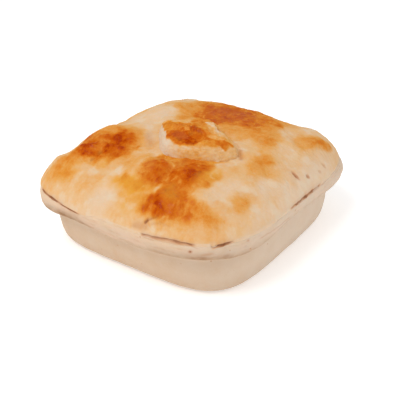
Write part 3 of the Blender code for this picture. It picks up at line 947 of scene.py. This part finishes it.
case = rounded_copy("pastry_case", "case_crust", 2)
select_only(case)
bpy.ops.object.mode_set(mode="EDIT")
bpy.ops.mesh.select_mode(type="FACE")
bpy.ops.mesh.select_all(action="DESELECT")
bpy.ops.object.mode_set(mode="OBJECT")
middles = np.array([face.center for face in case.data.polygons]) / MM
outer = np.hypot(middles[:, 0], middles[:, 1]) > FLANGE_INSIDE
case.data.polygons.foreach_set("select", outer & (middles[:, 2] > FLANGE_BOTTOM))
bpy.ops.object.mode_set(mode="EDIT")
bpy.ops.mesh.subdivide(number_cuts=1, smoothness=0)
bpy.ops.object.mode_set(mode="OBJECT")
print("case:", triangles(case), "triangles")

# %% Finger marks, pressed layers and the grain of the wall
PRESSED, DENTED = 0.22, 0.12
WALL_LUMP, SMALL_LUMP = 0.16, 0.05
SKIN_GRAIN = 0.02
# Edges of the rolled layers: height, depth, width, seed.
LAYER_LINES = ((22.6, 0.10, 0.30, 1), (21.0, 0.12, 0.35, 2), (19.4, 0.08, 0.40, 3))
LAYER_DRIFT = 0.55

points = read_points(case)
normals = read_normals(case)
around = np.arctan2(points[:, 1], points[:, 0])
flange = ramp(points[:, 2], 16.5, 2.5)
wall = 1 - flange
shelf = ramp(normals[:, 2], 0.8, 0.15)
above_base = ramp(points[:, 2], 0.2, 1.5)

press = PRESSED * lumps(points, 9.0, 111, 2) * flange
dent = DENTED * lumps(points, 3.2, 113, 3) * flange
body = WALL_LUMP * lumps(points, 11.0, 115, 3) * wall + SMALL_LUMP * lumps(points, 2.6, 117, 3)
skin = SKIN_GRAIN * lumps(points, 0.9, 119, 2)
layers = np.zeros(len(points))
for height, depth, width, seed in LAYER_LINES:
    drift = height + LAYER_DRIFT * lumps(flattened(points), 12.0, 120 + seed, 3)
    fade = smooth_step(lumps(flattened(points), 10.0, 130 + seed, 2) * 1.6 + 0.55)
    layers -= depth * np.exp(-((points[:, 2] - drift) / width) ** 2) * fade
relief = (press + dent + body + skin + layers * flange) * above_base * (1 - shelf)
points += normals * relief[:, None]
write_points(case, points)
print("case relief in mm:", round(relief.min(), 2), "to", round(relief.max(), 2))

# %% What the case is painted
# Stained lines on the flange: turns in degrees, heights, width, level.
FLANGE_LINES = (
    ("under the front crack", (197, 201), (23.6, 23.4), 0.20, 0.30),
    ("faint line above the left fold", (168, 176), (22.6, 22.2), 0.25, 0.15),
    ("end of the front crack", (213.5, 215.5), (24.2, 23.4), 0.25, 0.35),
    ("pink streak", (216.5, 220.5), (20.6, 21.2), 0.45, 0.30),
    ("line on the right", (238, 258), (21.4, 21.0), 0.30, 0.30),
    ("under the right crack", (258, 291), (24.0, 23.7), 0.30, 0.30),
    ("fold at the right corner", (296, 308), (23.2, 23.6), 0.35, 0.22),
)
# Stained spots on the flange: turn in degrees, height, radius, level.
FLANGE_SPOTS = (
    ("front", 213.2, 22.0, 0.55, 0.95),
    ("near corner", 232.5, 23.0, 0.50, 0.50),
    ("right", 262.5, 22.2, 0.40, 0.50),
    ("far right", 290.5, 21.6, 0.40, 0.35),
)
# Painted shade where the flange turns under and along its lower edge: turn in degrees, level.
UNDER_FLANGE_SHADE = (
    (0, 0.15), (138, 0.35), (150, 0.90), (164, 0.95), (172, 0.40), (182, 0.18), (198, 0.42),
    (210, 0.74), (226, 0.74), (240, 0.52), (262, 0.34), (300, 0.32), (320, 0.20), (360, 0.15))
LINE_ENDS = 1.6
# The painted shadow line under the hanging lid, with juice stain in it: how far below its edge,
# how wide, how dark.
LIP_DROP, LIP_WIDTH, LIP_SHADOW_AND_STAIN = 0.30, 0.42, 0.90
# Painted shade: the foot is darker towards the floor, up to this height.
FOOT_SHADE, FOOT_TOP = 0.13, 9.0
# The dough's level, and what browns it: mottling, the seam, the flange, and facing left; facing
# left is painted light, warmer.
CASE_LEVEL, CASE_MOTTLE, SEAM_BAKE, FLANGE_BAKE, LEFT_PAINTED_LIGHT = 0.14, 0.10, 0.22, 0.10, 0.22
# Its flour, and what adds to it: lumps, the flange, and facing right; facing right is painted
# light, paler and cooler.
CASE_FLOUR, FLOUR_LUMPS, FLANGE_FLOUR, RIGHT_PAINTED_LIGHT = 0.25, 0.35, 0.15, 0.8

z = points[:, 2]
from_middle = np.hypot(points[:, 0], points[:, 1])
outer_side = ramp(from_middle, 36, 2)
mottle = lumps(points, 5.0, 141, 4)
gap_noise = lumps(points, 3.0, 143, 3)
degrees = in_degrees(around)
# Darker in the grooves of the rolled layers.
stain = -layers / 0.12 * 0.20 * smooth_step(0.3 + gap_noise * 1.4) * flange
for name, turns, heights, width, level in FLANGE_LINES:
    inside = smooth_step(np.minimum(degrees - turns[0], turns[-1] - degrees) / LINE_ENDS + 0.5)
    away = (z - np.interp(degrees, turns, heights) - 0.12 * gap_noise) / width
    streak = level * inside * np.exp(-away ** 2) * outer_side * (0.85 + 0.35 * mottle)
    stain = np.maximum(stain, streak)
# Painted shadow under the hanging edge of the lid, with juice stain.
below_lip = z - (SEAM - droop(around) - LIP_DROP)
under_lip = np.exp(-(below_lip / LIP_WIDTH) ** 2) * outer_side
stain = np.maximum(stain, LIP_SHADOW_AND_STAIN * under_lip * droop_line(around))
for name, at_turn, height, width, level in FLANGE_SPOTS:
    arc = np.radians(degrees - at_turn) * from_middle
    away = np.hypot(arc, z - height) / width
    stain = np.maximum(stain, level * np.exp(-away ** 2))

# Painted shade: darker where the flange's underside faces down.
under_shade_level = read_turns(UNDER_FLANGE_SHADE, around)
turning_under = smooth_step((-normals[:, 2] - 0.20 + 0.30 * under_shade_level) / 0.5)
turning_under *= ramp(z, 15.5, 2)
turning_under = turning_under * under_shade_level * (0.85 + 0.4 * gap_noise)
foot = FOOT_SHADE * smooth_step((FOOT_TOP - z) / FOOT_TOP)

near_seam = ramp(z, 20.0, 4.0)
leftward = smooth_step((points[:, 1] - points[:, 0]) / 90 + 0.5)
bake = CASE_LEVEL + CASE_MOTTLE * mottle
bake += SEAM_BAKE * near_seam * smooth_step(mottle + 0.5) + FLANGE_BAKE * flange
# Painted light: the wall warmer on the left and paler on the right.
bake += LEFT_PAINTED_LIGHT * (leftward - 0.5) * wall
cream = ramp(z, 20.8, 3.6) * (0.7 + 0.4 * mottle)
flour = CASE_FLOUR + FLOUR_LUMPS * lumps(points, 8.0, 145, 3)
flour += FLANGE_FLOUR * flange + RIGHT_PAINTED_LIGHT * (0.5 - leftward)
flush = flange * smooth_step(0.45 + 0.9 * lumps(points * np.array([1, 1, 3]), 7.0, 147, 3))
write_shares(case, shade=np.maximum(turning_under, foot), cream=cream, bake=bake, flush=flush,
             flour=flour, stain=stain)

# %% [markdown]
# ## The square
# A small square of puff pastry lies on the lid. It rose more than the lid did, so its cut
# sides show the layers, and its top has pulled up into a crinkled peak that browned deeply.
# A rounded copy of its solid is fine enough for the crinkles. The folds are named lines, as
# on the lid.

# %% A rounded copy of the square
square = rounded_copy("pastry_square", "square_crust", 3)
points = read_points(square)
normals = read_normals(square)
print("square:", triangles(square), "triangles")

# %% Folds of the square: start, end, width, height in millimetres
SQUARE_FOLDS = (
    ("ridge behind the hollow", (-12.0, -1.5), (-11.0, -9.5), 1.3, 0.60),
    ("ridge towards the tip", (-11.0, -9.5), (-10.0, -18.5), 1.2, 0.35),
    ("ridge to the back", (-12.5, -1.0), (-8.5, 7.5), 1.4, 0.40),
    ("crease beside it", (-9.8, 8.0), (-8.9, -2.8), 0.7, -0.50),
    ("ridge above the hollow", (-12.0, -1.5), (-20.0, -0.2), 1.1, 0.40),
    ("left lip", (-19.4, -1.2), (-8.0, 9.6), 0.8, 0.30),
    ("front lip", (-20.4, -3.0), (-19.0, -11.0), 0.8, 0.40),
    ("front lip, lower part", (-19.0, -11.0), (-13.2, -19.6), 0.8, 0.40),
    ("lip at the tip", (-13.0, -20.4), (-8.4, -22.2), 0.8, 0.35),
    ("dark nick", (-1.0, -9.8), (-4.2, -14.8), 0.5, -0.50),
    ("crease across the ridge", (-8.6, -3.2), (-12.0, -6.5), 0.6, -0.35),
    ("edge of the cut strip", (-9.0, -15.2), (0.5, -7.6), 0.6, 0.30),
    ("fold across the right", (-9.5, -5.5), (3.0, -2.0), 1.2, 0.22),
    ("groove across the right", (-9.0, -9.0), (-1.0, -4.5), 1.0, -0.25),
)
# Where the top ends and the cut sides begin, seen from above.
TOP_OUTLINE = ((-19.8, -1.2), (-14.6, 3.8), (-8.6, 9.6), (-6, 12), (5, 13), (12.5, 3.5),
               (3.6, -8), (-5, -20.4), (-8.8, -22.6), (-12.4, -21.4), (-15.6, -17.9),
               (-18.4, -13.2), (-20.4, -8.8), (-20.9, -5))
# The hollow in its top: x, y, two radii, turn; and its depth.
HOLLOW, HOLLOW_DEPTH = (-16.3, -7.6, 3.5, 5.2, -12), 0.85
TOP_EDGE = 0.9
CRINKLE, SWELL, LAYERED, RAGGED = 0.20, 0.25, 0.20, 0.22
SIDE_LAYER = 0.62
# The foot is sunk until it meets the lid, so that no dark gap shows under the square.
SUNK, FLARE, FOOT_HEIGHT = 2.00, 1.00, 2.0

flat = flattened(points)
stir = stirred(flat, 2.2, 0.55, 203)
upward = smooth_step(0.5 + within(stir, TOP_OUTLINE) / TOP_EDGE) * (normals[:, 2] > 0)
side = (1 - upward) * ramp(normals[:, 2], -0.5, 0.3)
under = ramp(-normals[:, 2], 0.3, 0.4)
folds = -HOLLOW_DEPTH * np.exp(-spot(stir, *HOLLOW) ** 4)
for name, start, end, width, height in SQUARE_FOLDS:
    folds += height * line(stir, start, end, width)
crinkle = CRINKLE * (ridges(stirred(flat, 2.5, 0.9, 207), 3.0, 209) ** 2 - 0.3)
swell = SWELL * lumps(points, 5.0, 211, 3)
layer_height = points[:, 2] + 0.40 * lumps(points, 5.0, 213, 3)
layered = LAYERED * (np.abs(np.mod(layer_height / SIDE_LAYER, 1.0) - 0.5) * 2 - 0.5)
layered *= 0.4 + 0.6 * smooth_step(lumps(points, 4.0, 214, 2) + 0.6)
ragged = RAGGED * lumps(points * np.array([1, 1, 2.5]), 1.8, 215, 3)
relief = (folds + crinkle) * upward + swell * (1 - under) + (layered + ragged) * side
points += normals * relief[:, None]

ground = np.array([LID_TREE.ray_cast(Vector((x, y, FAR)), Vector((0, 0, -1)))[0].z
                   for x, y in points[:, :2]])
above = np.maximum(points[:, 2] - ground, 0)
near_foot = np.clip(1 - above / FOOT_HEIGHT, 0, 1)
sideways = np.linalg.norm(normals[:, :2], axis=1)
outward = normals[:, :2] / np.maximum(sideways, 0.35)[:, None]
points[:, 2] -= SUNK * near_foot
points[:, :2] += FLARE * near_foot[:, None] * outward
write_points(square, points)
print("square relief in mm:", round(relief.min(), 2), "to", round(relief.max(), 2))

# %% Patches of the square: level, softness in millimetres, outline seen from above
SQUARE_PATCHES = (
    ("whole top", 0.43, 1.2, ((-21, 1), (-9, 12), (6, 14), (14, 3), (4, -9), (-5, -22),
     (-10, -23), (-19, -14), (-22, -5))),
    ("light part at the back", 0.36, 1.3, ((-10, 8), (-3, 10), (1, 3), (-3, -1), (-9, -0.5))),
    ("orange right part", 0.58, 1.4, ((-10, -2), (0, 1), (6, -3), (3, -6), (-2, -6.5),
     (-9.5, -13), (-13, -14), (-11, -4))),
    ("orange facet", 0.63, 0.8, ((-19.4, -0.4), (-14.4, 3.9), (-9.1, 8.6), (-7.5, 3),
     (-8.4, -3.1), (-12.3, -2.4), (-16, -0.4))),
    ("ring of the brown patch", 0.76, 1.0, ((-19.6, -0.2), (-15.5, -0.2), (-12.5, -2.6),
     (-9.6, -3.6), (-8, -6), (-10, -11), (-13.4, -13.8), (-17.4, -14.6), (-19.8, -12.6),
     (-20.8, -8.5), (-20.3, -4))),
    ("brown patch", 0.90, 0.7, ((-18.6, -1.2), (-16, -1.5), (-13.8, -3.6), (-9.6, -4.9),
     (-9, -6.4), (-11, -10.4), (-14, -12.7), (-17.2, -13.3), (-18.7, -12.2), (-19.7, -8.5),
     (-19.2, -5))),
    ("its deepest part", 1.0, 0.9, ((-17.6, -7), (-15.4, -8.6), (-15.6, -12.2), (-17.4, -13.1),
     (-18.8, -12), (-19.6, -8.5), (-19.2, -5), (-18.4, -2.2), (-17.2, -2.6))),
    ("light spot above it", 0.50, 0.8, ((-13.4, -4.2), (-11.6, -3.4), (-10.8, -5),
     (-12.6, -5.8))),
    ("reddish tail", 0.72, 0.8, ((-13.4, -12.4), (-12.2, -15.4), (-11.6, -19.8), (-13.0, -19.0),
     (-15, -15.4), (-15.6, -12.8))),
    ("orange strip", 0.56, 0.6, ((-20.2, -11.0), (-17.2, -13), (-12.0, -17.6), (-8.6, -21.0),
     (-8.8, -22.6), (-12.4, -21.4), (-16, -17))),
    ("orange tip", 0.70, 0.7, ((-13.8, -18.4), (-12.6, -17.2), (-11, -18), (-8.6, -21.8),
     (-9.2, -22.6), (-12.6, -21.4))),
    ("greyish corner", 0.31, 0.8, ((-9.6, -15), (-4, -10.5), (-1, -8.5), (-3.5, -13.5),
     (-7, -20))),
    ("cut strip", 0.16, 0.8, ((-1.6, -5.6), (1.2, -6), (-1.8, -11), (-4.2, -14.8), (-6.2, -14.2),
     (-3.8, -10))),
    ("orange beside the nick", 0.44, 0.5, ((-4.2, -12.6), (2.6, -5.6), (3.4, -7), (-3, -13.6))),
)
# Painted sheen on the facet by the square's peak.
SHEEN_FACET = ((-17.6, -1.4), (-14.6, -1.4), (-13.6, -4.2), (-14.6, -6), (-16.6, -8.6), (-17.8, -7),
              (-18.6, -3))
# Painted shade in the nick, beside the cut strip and in the creases: start, end, width, level.
SQUARE_SHADE_LINES = (
    ("beside the cut strip", (-5.2, -14.2), (2.5, -6.4), 0.40, 0.30),
    ("crease beside the ridge", (-9.8, 8.0), (-8.9, -2.8), 0.42, 0.35),
    ("dark nick", (-1.0, -9.8), (-4.2, -14.8), 0.42, 0.40),
    ("crease across the ridge", (-8.6, -3.2), (-12.0, -6.5), 0.42, 0.42),
)
# A line of glaze along the front: start, end, width.
GLAZED_FRONT = ((-21.2, -8), (-14, -18.4), 0.6)
GLAZED_TOP, GLAZED_FOOT, SHEEN_SHARE, LAYER_DARKENING = 0.35, 0.5, 0.7, 0.30
# The level of the top, and how much its relief and two sizes of noise change it.
TOP_LEVEL, TOP_RELIEF, TOP_FINE, TOP_MOTTLE = 0.38, 0.10, 0.10, 0.09
# The cut sides: the way the palest one faces, and the level of each. The side facing that way is
# painted paler, as lit from the left: painted light.
PALE_SIDE = (-0.62, 0.78, 0.0)
SIDE_LEVEL, FRONT_LEVEL, LIT_SIDE_LEVEL, FOOT_LEVEL = 0.36, 0.30, 0.16, 0.46

bake = np.full(len(points), TOP_LEVEL)
for name, level, softness, corners in SQUARE_PATCHES:
    bake = painted(bake, smooth_step(0.5 + within(stir, corners) / softness), level)
fine = lumps(points, 1.4, 221, 3)
mottle = lumps(points, 3.4, 222, 3)
raised = folds * 0.6 + crinkle * 2.0
bake += (TOP_RELIEF * raised + TOP_FINE * fine + TOP_MOTTLE * mottle) * upward
# Painted light: the cut side facing PALE_SIDE is paler, as lit from the left.
turned_left = smooth_step(0.5 + 1.4 * (normals @ np.array(PALE_SIDE) - 0.45))
frontmost = smooth_step((-10 - points[:, 1]) / 8)
golden_foot = smooth_step(1.9 - above / 1.5 + 0.3 * fine) * (1 - turned_left)
golden_foot *= ramp(points[:, 1], -20, 5)
side_level = painted(np.full(len(points), SIDE_LEVEL), frontmost, FRONT_LEVEL)
side_level = painted(side_level, turned_left, LIT_SIDE_LEVEL)
side_level = painted(side_level, golden_foot, FOOT_LEVEL)
bake = painted(bake, side, side_level + 0.10 * fine + 0.12 * layered / 0.2)

# Darker between the layers of the cut sides.
between_layers = smooth_step(-layered / 0.16 - 0.1)
# Painted shade lines in the nick, beside the cut strip and in the creases.
stain = np.maximum(lined(SQUARE_SHADE_LINES, stirred(flat, 1.4, 0.3, 223)),
                   LAYER_DARKENING * side * between_layers * (0.6 + fine))
glaze = GLAZED_TOP * smooth_step(lumps(flat, 5.0, 225, 2) * 2 + 0.2) * upward
glaze = np.maximum(glaze, GLAZED_TOP * line(stir, *GLAZED_FRONT))
glaze = np.maximum(glaze, np.maximum(GLAZED_FOOT * golden_foot, 0.3 * frontmost) * side)
dull = SHEEN_SHARE * smooth_step(0.5 + within(stir, SHEEN_FACET) / 1.4)
gloss = ramp(bake, 0.5, 0.4) * np.clip(0.3 + folds + crinkle * 3, 0, 1) * upward
# The side facing PALE_SIDE also gets more of this share: painted light, paler and greyer.
flour = (0.10 + 0.50 * turned_left) * side + 0.1 * fine
write_shares(square, bake=bake, glaze=glaze, dull=dull, gloss=gloss, flour=flour, stain=stain)

# %% [markdown]
# ## Mixing the finishes
# A material is a small sum: this much browning, plus that much glaze. Building it node by
# node hides the sum, so one small class stands for a value on its way through the nodes, and
# Python's own signs add the Math nodes. Any other kind of node comes from one method that
# takes its type, its settings and what feeds its sockets.

# %% A value in a material, and the bowl it is mixed in


class Value:
    """An output of a node, which can be added, multiplied and so on like a number."""

    def __init__(self, bowl, socket):
        self.bowl = bowl
        self.socket = socket

    def joined(self, operation, first, second):
        """The result of a Math node that takes two values or numbers."""
        return self.bowl.node("ShaderNodeMath", {"operation": operation},
                              {0: first, 1: second})

    def __add__(self, other):
        return self.joined("ADD", self, other)

    def __mul__(self, other):
        return self.joined("MULTIPLY", self, other)

    def __sub__(self, other):
        return self.joined("SUBTRACT", self, other)

    def __rsub__(self, other):
        return self.joined("SUBTRACT", other, self)

    __radd__ = __add__
    __rmul__ = __mul__

    def between(self, low, high):
        """0 below low, 1 above high, and an even curve between."""
        return self.bowl.node("ShaderNodeMapRange", {"interpolation_type": "SMOOTHSTEP"},
                              {0: self, 1: low, 2: high})


class Bowl:
    """A material being mixed."""

    def __init__(self, name):
        self.material = bpy.data.materials.new(name)
        self.material.use_nodes = True
        self.tree = self.material.node_tree
        self.surface = self.tree.nodes["Principled BSDF"]
        self.place = self.node("ShaderNodeTexCoord", {}, {}, "Object")

    def feed(self, socket, value):
        """Link a value to a socket, or set a plain number or colour on it."""
        if isinstance(value, Value):
            self.tree.links.new(value.socket, socket)
        else:
            socket.default_value = value

    def node(self, kind, settings, sockets, output=0):
        """Add a node, apply its settings, feed its sockets, and return one of its outputs."""
        made = self.tree.nodes.new(kind)
        for key, value in settings.items():
            if key == "stops":
                self.fill_ramp(made.color_ramp, value)
            else:
                setattr(made, key, value)
        for key, value in sockets.items():
            self.feed(made.inputs[key], value)
        return Value(self, made.outputs[output])

    def fill_ramp(self, scale, stops):
        """Give the colour scale of a ColorRamp node these stops."""
        while len(scale.elements) < len(stops):
            scale.elements.new(1.0)
        for element, (position, colour) in zip(scale.elements, stops):
            element.position = position
            element.color = colour

    def painted(self, name):
        """One of the shares kept with each point of the piece."""
        return self.node("ShaderNodeAttribute", {"attribute_name": name}, {}, "Fac")

    def speckle(self, size, detail=4, roughness=0.6):
        """Noise from 0 to 1 whose lumps are about this many millimetres wide."""
        return self.node("ShaderNodeTexNoise", {},
                         {"Vector": self.place, "Scale": 1 / (size * MM),
                          "Detail": detail, "Roughness": roughness}, "Fac")

    def mix(self, share, low, high):
        """A colour between two colours."""
        return self.node("ShaderNodeMix", {"data_type": "RGBA"}, {0: share, 6: low, 7: high}, 2)

    def bump(self, height, distance, strength, below=None):
        """Fine relief: a height field, how deep it is in millimetres, and its strength."""
        sockets = {"Height": height, "Distance": distance * MM, "Strength": strength}
        if below is not None:
            sockets["Normal"] = below
        return self.node("ShaderNodeBump", {}, sockets)

    def finish(self, **sockets):
        """Feed the surface's own sockets; a space in a name is written as an underscore."""
        for key, value in sockets.items():
            self.feed(self.surface.inputs[key.replace("_", " ")], value)
        return self.material


# %% Colours as the eye reads them
STUDIO = 1.06


def tone(red, green, blue):
    """A colour as it looks under the studio light, 0 to 255, as the paint that gives it."""
    def linear(value):
        value /= 255
        return value / 12.92 if value <= 0.04045 else ((value + 0.055) / 1.055) ** 2.4
    return tuple(linear(value) / STUDIO for value in (red, green, blue)) + (1.0,)


BROWNING = (
    (0.00, tone(229, 204, 176)),
    (0.14, tone(228, 194, 158)),
    (0.28, tone(227, 182, 130)),
    (0.42, tone(225, 163, 90)),
    (0.56, tone(219, 139, 54)),
    (0.70, tone(209, 114, 30)),
    (0.84, tone(199, 94, 12)),
    (0.92, tone(190, 82, 9)),
    (1.00, tone(168, 56, 2)),
)
GLAZE_YELLOW = tone(229, 168, 62)
# Flour, and also painted light: the greyer right flank of the lid and the paler lit sides.
FLOUR_AND_PAINTED_LIGHT = tone(218, 200, 181)
MILKY = tone(226, 208, 182)
# Juice stains; the same colours also paint the shade lines, and the flecks in the dough.
STAIN_AND_SHADE_EDGE = tone(178, 98, 34)
STAIN_AND_SHADE_HEART = tone(116, 54, 16)
# Painted sheen on the browned tops.
SHEEN_BROWN = tone(184, 94, 54)
TORN_SKIN_AND_GLINT = tone(236, 160, 84)
CASE_PALE = tone(215, 191, 167)
CASE_WARM = tone(208, 175, 142)
FLANGE_PINK = tone(224, 190, 164)
RIM_CREAM = tone(232, 203, 170)
# Painted shade under the flange and at the foot of the case.
UNDER_SHADE_BROWN = tone(158, 122, 90)


def stained_and_shaded(bowl, colour):
    """A colour with the piece's juice stains and painted shade lines over it, darkest in their
    middle.
    """
    stain = bowl.painted("stain")
    return bowl.mix(stain, colour, bowl.mix(stain.between(0.45, 0.95), STAIN_AND_SHADE_EDGE, STAIN_AND_SHADE_HEART))


# %% [markdown]
# ## Baked crust
# The lid and the square share one kind of surface. Its colour comes from the browning that
# was painted point by point, broken up by noise too fine for the mesh, and read off a ramp
# that runs from raw dough to the deepest brown. Glaze, flour that on the right flank also
# serves as painted shade, tiny flecks of torn skin that also serve as painted glints, a
# painted sheen on the browned tops, juice stains and painted shade lines go over it. Browned
# crust is also a little glossier than pale crust, because the glaze has baked on it. The two
# materials differ only in strength.

# %% Crust
GLAZE_COVER, SHEEN_COVER, TORN_AND_GLINT_COVER, MILKY_COVER, DUST_COVER = 0.55, 0.55, 0.45, 0.45, 0.7
COARSE_MOTTLE, TINY_MOTTLE = 0.24, 0.26
CRUST_ROUGHNESS, ROUGH_MOTTLE, CRUST_COAT = 0.62, 0.3, 0.22


def crust(name, speck, polish):
    """A glazed, browned pastry skin."""
    bowl = Bowl(name)
    coarse = bowl.speckle(2.4, 6, 0.62)
    fine = bowl.speckle(0.8, 5, 0.7)
    tiny = bowl.speckle(0.3, 4, 0.7)
    painted_bake = bowl.painted("bake")
    browned = painted_bake.between(0.25, 0.75)
    mottle = ((coarse - 0.5) * COARSE_MOTTLE + (fine - 0.5) * speck
              + (tiny - 0.5) * TINY_MOTTLE)
    amount = painted_bake + mottle * (0.45 + 0.55 * browned)
    colour = bowl.node("ShaderNodeValToRGB", {"stops": BROWNING}, {0: amount}, "Color")
    colour = bowl.mix(bowl.painted("glaze") * GLAZE_COVER, colour, GLAZE_YELLOW)
    # Painted sheen on the browned tops.
    dull = bowl.painted("dull") * amount.between(0.5, 0.8)
    colour = bowl.mix(dull * SHEEN_COVER, colour, SHEEN_BROWN)
    # Flecks of torn skin on the browned crust, which also serve as painted glints.
    torn_and_glint = tiny.between(0.60, 0.68) * fine.between(0.52, 0.62) * browned
    colour = bowl.mix(torn_and_glint * TORN_AND_GLINT_COVER, colour, TORN_SKIN_AND_GLINT)
    milky = bowl.speckle(5.0, 3, 0.5).between(0.50, 0.66) * (1 - painted_bake.between(0.2, 0.5))
    colour = bowl.mix(milky * MILKY_COVER, colour, MILKY)
    dusted = bowl.painted("flour") * (1 - amount.between(0.25, 0.6))
    colour = bowl.mix(dusted * DUST_COVER, colour, FLOUR_AND_PAINTED_LIGHT)
    colour = stained_and_shaded(bowl, colour)
    rough = CRUST_ROUGHNESS - browned * polish + (fine - 0.5) * ROUGH_MOTTLE
    coat = bowl.painted("gloss") * fine.between(0.40, 0.62) * CRUST_COAT
    skin = bowl.bump(bowl.speckle(0.45, 4, 0.6), 0.05, 0.5)
    skin = bowl.bump(coarse, 0.12, 0.6, skin)
    return bowl.finish(Base_Color=colour, Roughness=rough, Normal=skin, Coat_Weight=coat,
                       Coat_Roughness=0.28, Specular_IOR_Level=0.0, Subsurface_Weight=0.10,
                       Subsurface_Radius=(1.0, 0.5, 0.25), Subsurface_Scale=0.8 * MM)


lid_finish = crust("golden crust", speck=0.34, polish=0.22)
square_finish = crust("browned crust", speck=0.38, polish=0.24)

# %% [markdown]
# ## Pale dough
# The case is away from the heat that browns the lid, so it is dull, chalky and only faintly
# mottled. It is pinker where the flange was pressed and creamy towards the seam. Shade is
# painted in where the flange turns under and towards the foot. Its left side is painted warmer
# and its right side paler and cooler, which is painted light. Tiny brown flecks sit in it.

# %% Dough
DOUGH_LAYERS = (("flush", 0.5, FLANGE_PINK), ("cream", 0.7, RIM_CREAM),
                ("flour", 0.6, FLOUR_AND_PAINTED_LIGHT), ("shade", 1.0, UNDER_SHADE_BROWN))
FLECK_SPACING, FLECK_COVER = 3.4, 0.55
# How much the browning and two sizes of mottling warm the pale dough.
BAKE_WARMTH, CLOUD_WARMTH, DUST_WARMTH = 1.6, 1.1, 0.7
DOUGH_ROUGHNESS, DOUGH_ROUGH_MOTTLE = 0.78, 0.15

dough = Bowl("pale dough")
cloud = dough.speckle(6.0, 5, 0.6)
dust = dough.speckle(0.8, 5, 0.7)
fleck_field = dough.node("ShaderNodeTexVoronoi", {},
                         {"Vector": dough.place, "Scale": 1 / (FLECK_SPACING * MM)}, "Distance")
fleck = (1 - fleck_field.between(0.04, 0.13)) * dough.speckle(9.0, 2).between(0.5, 0.62)
warmth = (dough.painted("bake") * BAKE_WARMTH + (cloud - 0.5) * CLOUD_WARMTH
          + (dust - 0.5) * DUST_WARMTH)
colour = dough.mix(warmth, CASE_PALE, CASE_WARM)
for share_name, cover, paint in DOUGH_LAYERS:
    colour = dough.mix(dough.painted(share_name) * cover, colour, paint)
colour = dough.mix(fleck * FLECK_COVER, colour, STAIN_AND_SHADE_EDGE)
colour = stained_and_shaded(dough, colour)
skin = dough.bump(dough.speckle(0.5, 4, 0.65), 0.06, 0.5)
skin = dough.bump(dough.speckle(2.2, 4, 0.6), 0.12, 0.4, skin)
rough = (dust - 0.5) * DOUGH_ROUGH_MOTTLE + DOUGH_ROUGHNESS
case_finish = dough.finish(Base_Color=colour, Roughness=rough, Normal=skin,
                           Specular_IOR_Level=0.03, Subsurface_Weight=0.12,
                           Subsurface_Radius=(1.0, 0.6, 0.35), Subsurface_Scale=1.5 * MM)

# %% Each piece gets its finish and takes its solid's place
PIECES = (
    (lid, lid_finish, "pastry_lid", "golden_pastry"),
    (case, case_finish, "pastry_case", "pale_pastry"),
    (square, square_finish, "pastry_square", "browned_pastry"),
)
for piece, finish, node, slot in PIECES:
    piece.data.materials.clear()
    piece.data.materials.append(finish)
    select_only(piece)
    bpy.ops.object.shade_smooth()
    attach(piece, "root")
    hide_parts(node)
    print(piece.name, "replaces", node, "with", triangles(piece), "triangles")

# %% [markdown]
# ## The studio
# The photograph was taken in a white tent: light comes from everywhere, a little more from
# above and behind, and there is hardly a shadow. A white sky and a white floor give most of
# that light. One soft lamp adds the sheen on the browned blisters, and a weaker, larger one
# lights the side at the right.

# %% Floor, sky and lamps
SKY_STRENGTH = 0.67
FLOOR_GLOW = 0.31
FLOOR_GREYS = ((0.93, 0.93, 0.93, 1), (0.95, 0.95, 0.95, 1))
WHITE = (1, 1, 1, 1)
# Lamps: place, width, power.
LAMPS = (
    ("window lamp", (-0.34, 0.10, 0.60), 0.30, 1.9),
    ("fill lamp", (0.10, -0.55, 0.40), 0.50, 0.4),
)

select_only()
bpy.ops.mesh.primitive_plane_add(size=6, location=(0, 0, 0))
floor = bpy.context.object
floor.name = "floor"
floor_bowl = Bowl("white floor")
floor_tint = floor_bowl.mix(floor_bowl.speckle(40.0, 2), *FLOOR_GREYS)
floor.data.materials.append(floor_bowl.finish(Base_Color=floor_tint, Roughness=0.9,
                                              Emission_Color=WHITE, Emission_Strength=FLOOR_GLOW))

sky = bpy.data.worlds.new("studio sky")
sky.use_nodes = True
background = sky.node_tree.nodes["Background"]
background.inputs["Color"].default_value = WHITE
background.inputs["Strength"].default_value = SKY_STRENGTH
bpy.context.scene.world = sky

for name, place, width, power in LAMPS:
    aim = (-Vector(place)).to_track_quat("-Z", "Y").to_euler()
    bpy.ops.object.light_add(type="AREA", location=place, rotation=aim)
    lamp = bpy.context.object
    lamp.name = name
    lamp.data.size = width
    lamp.data.energy = power
bpy.context.scene.view_settings.view_transform = "Standard"
print("lamps:", len(LAMPS))
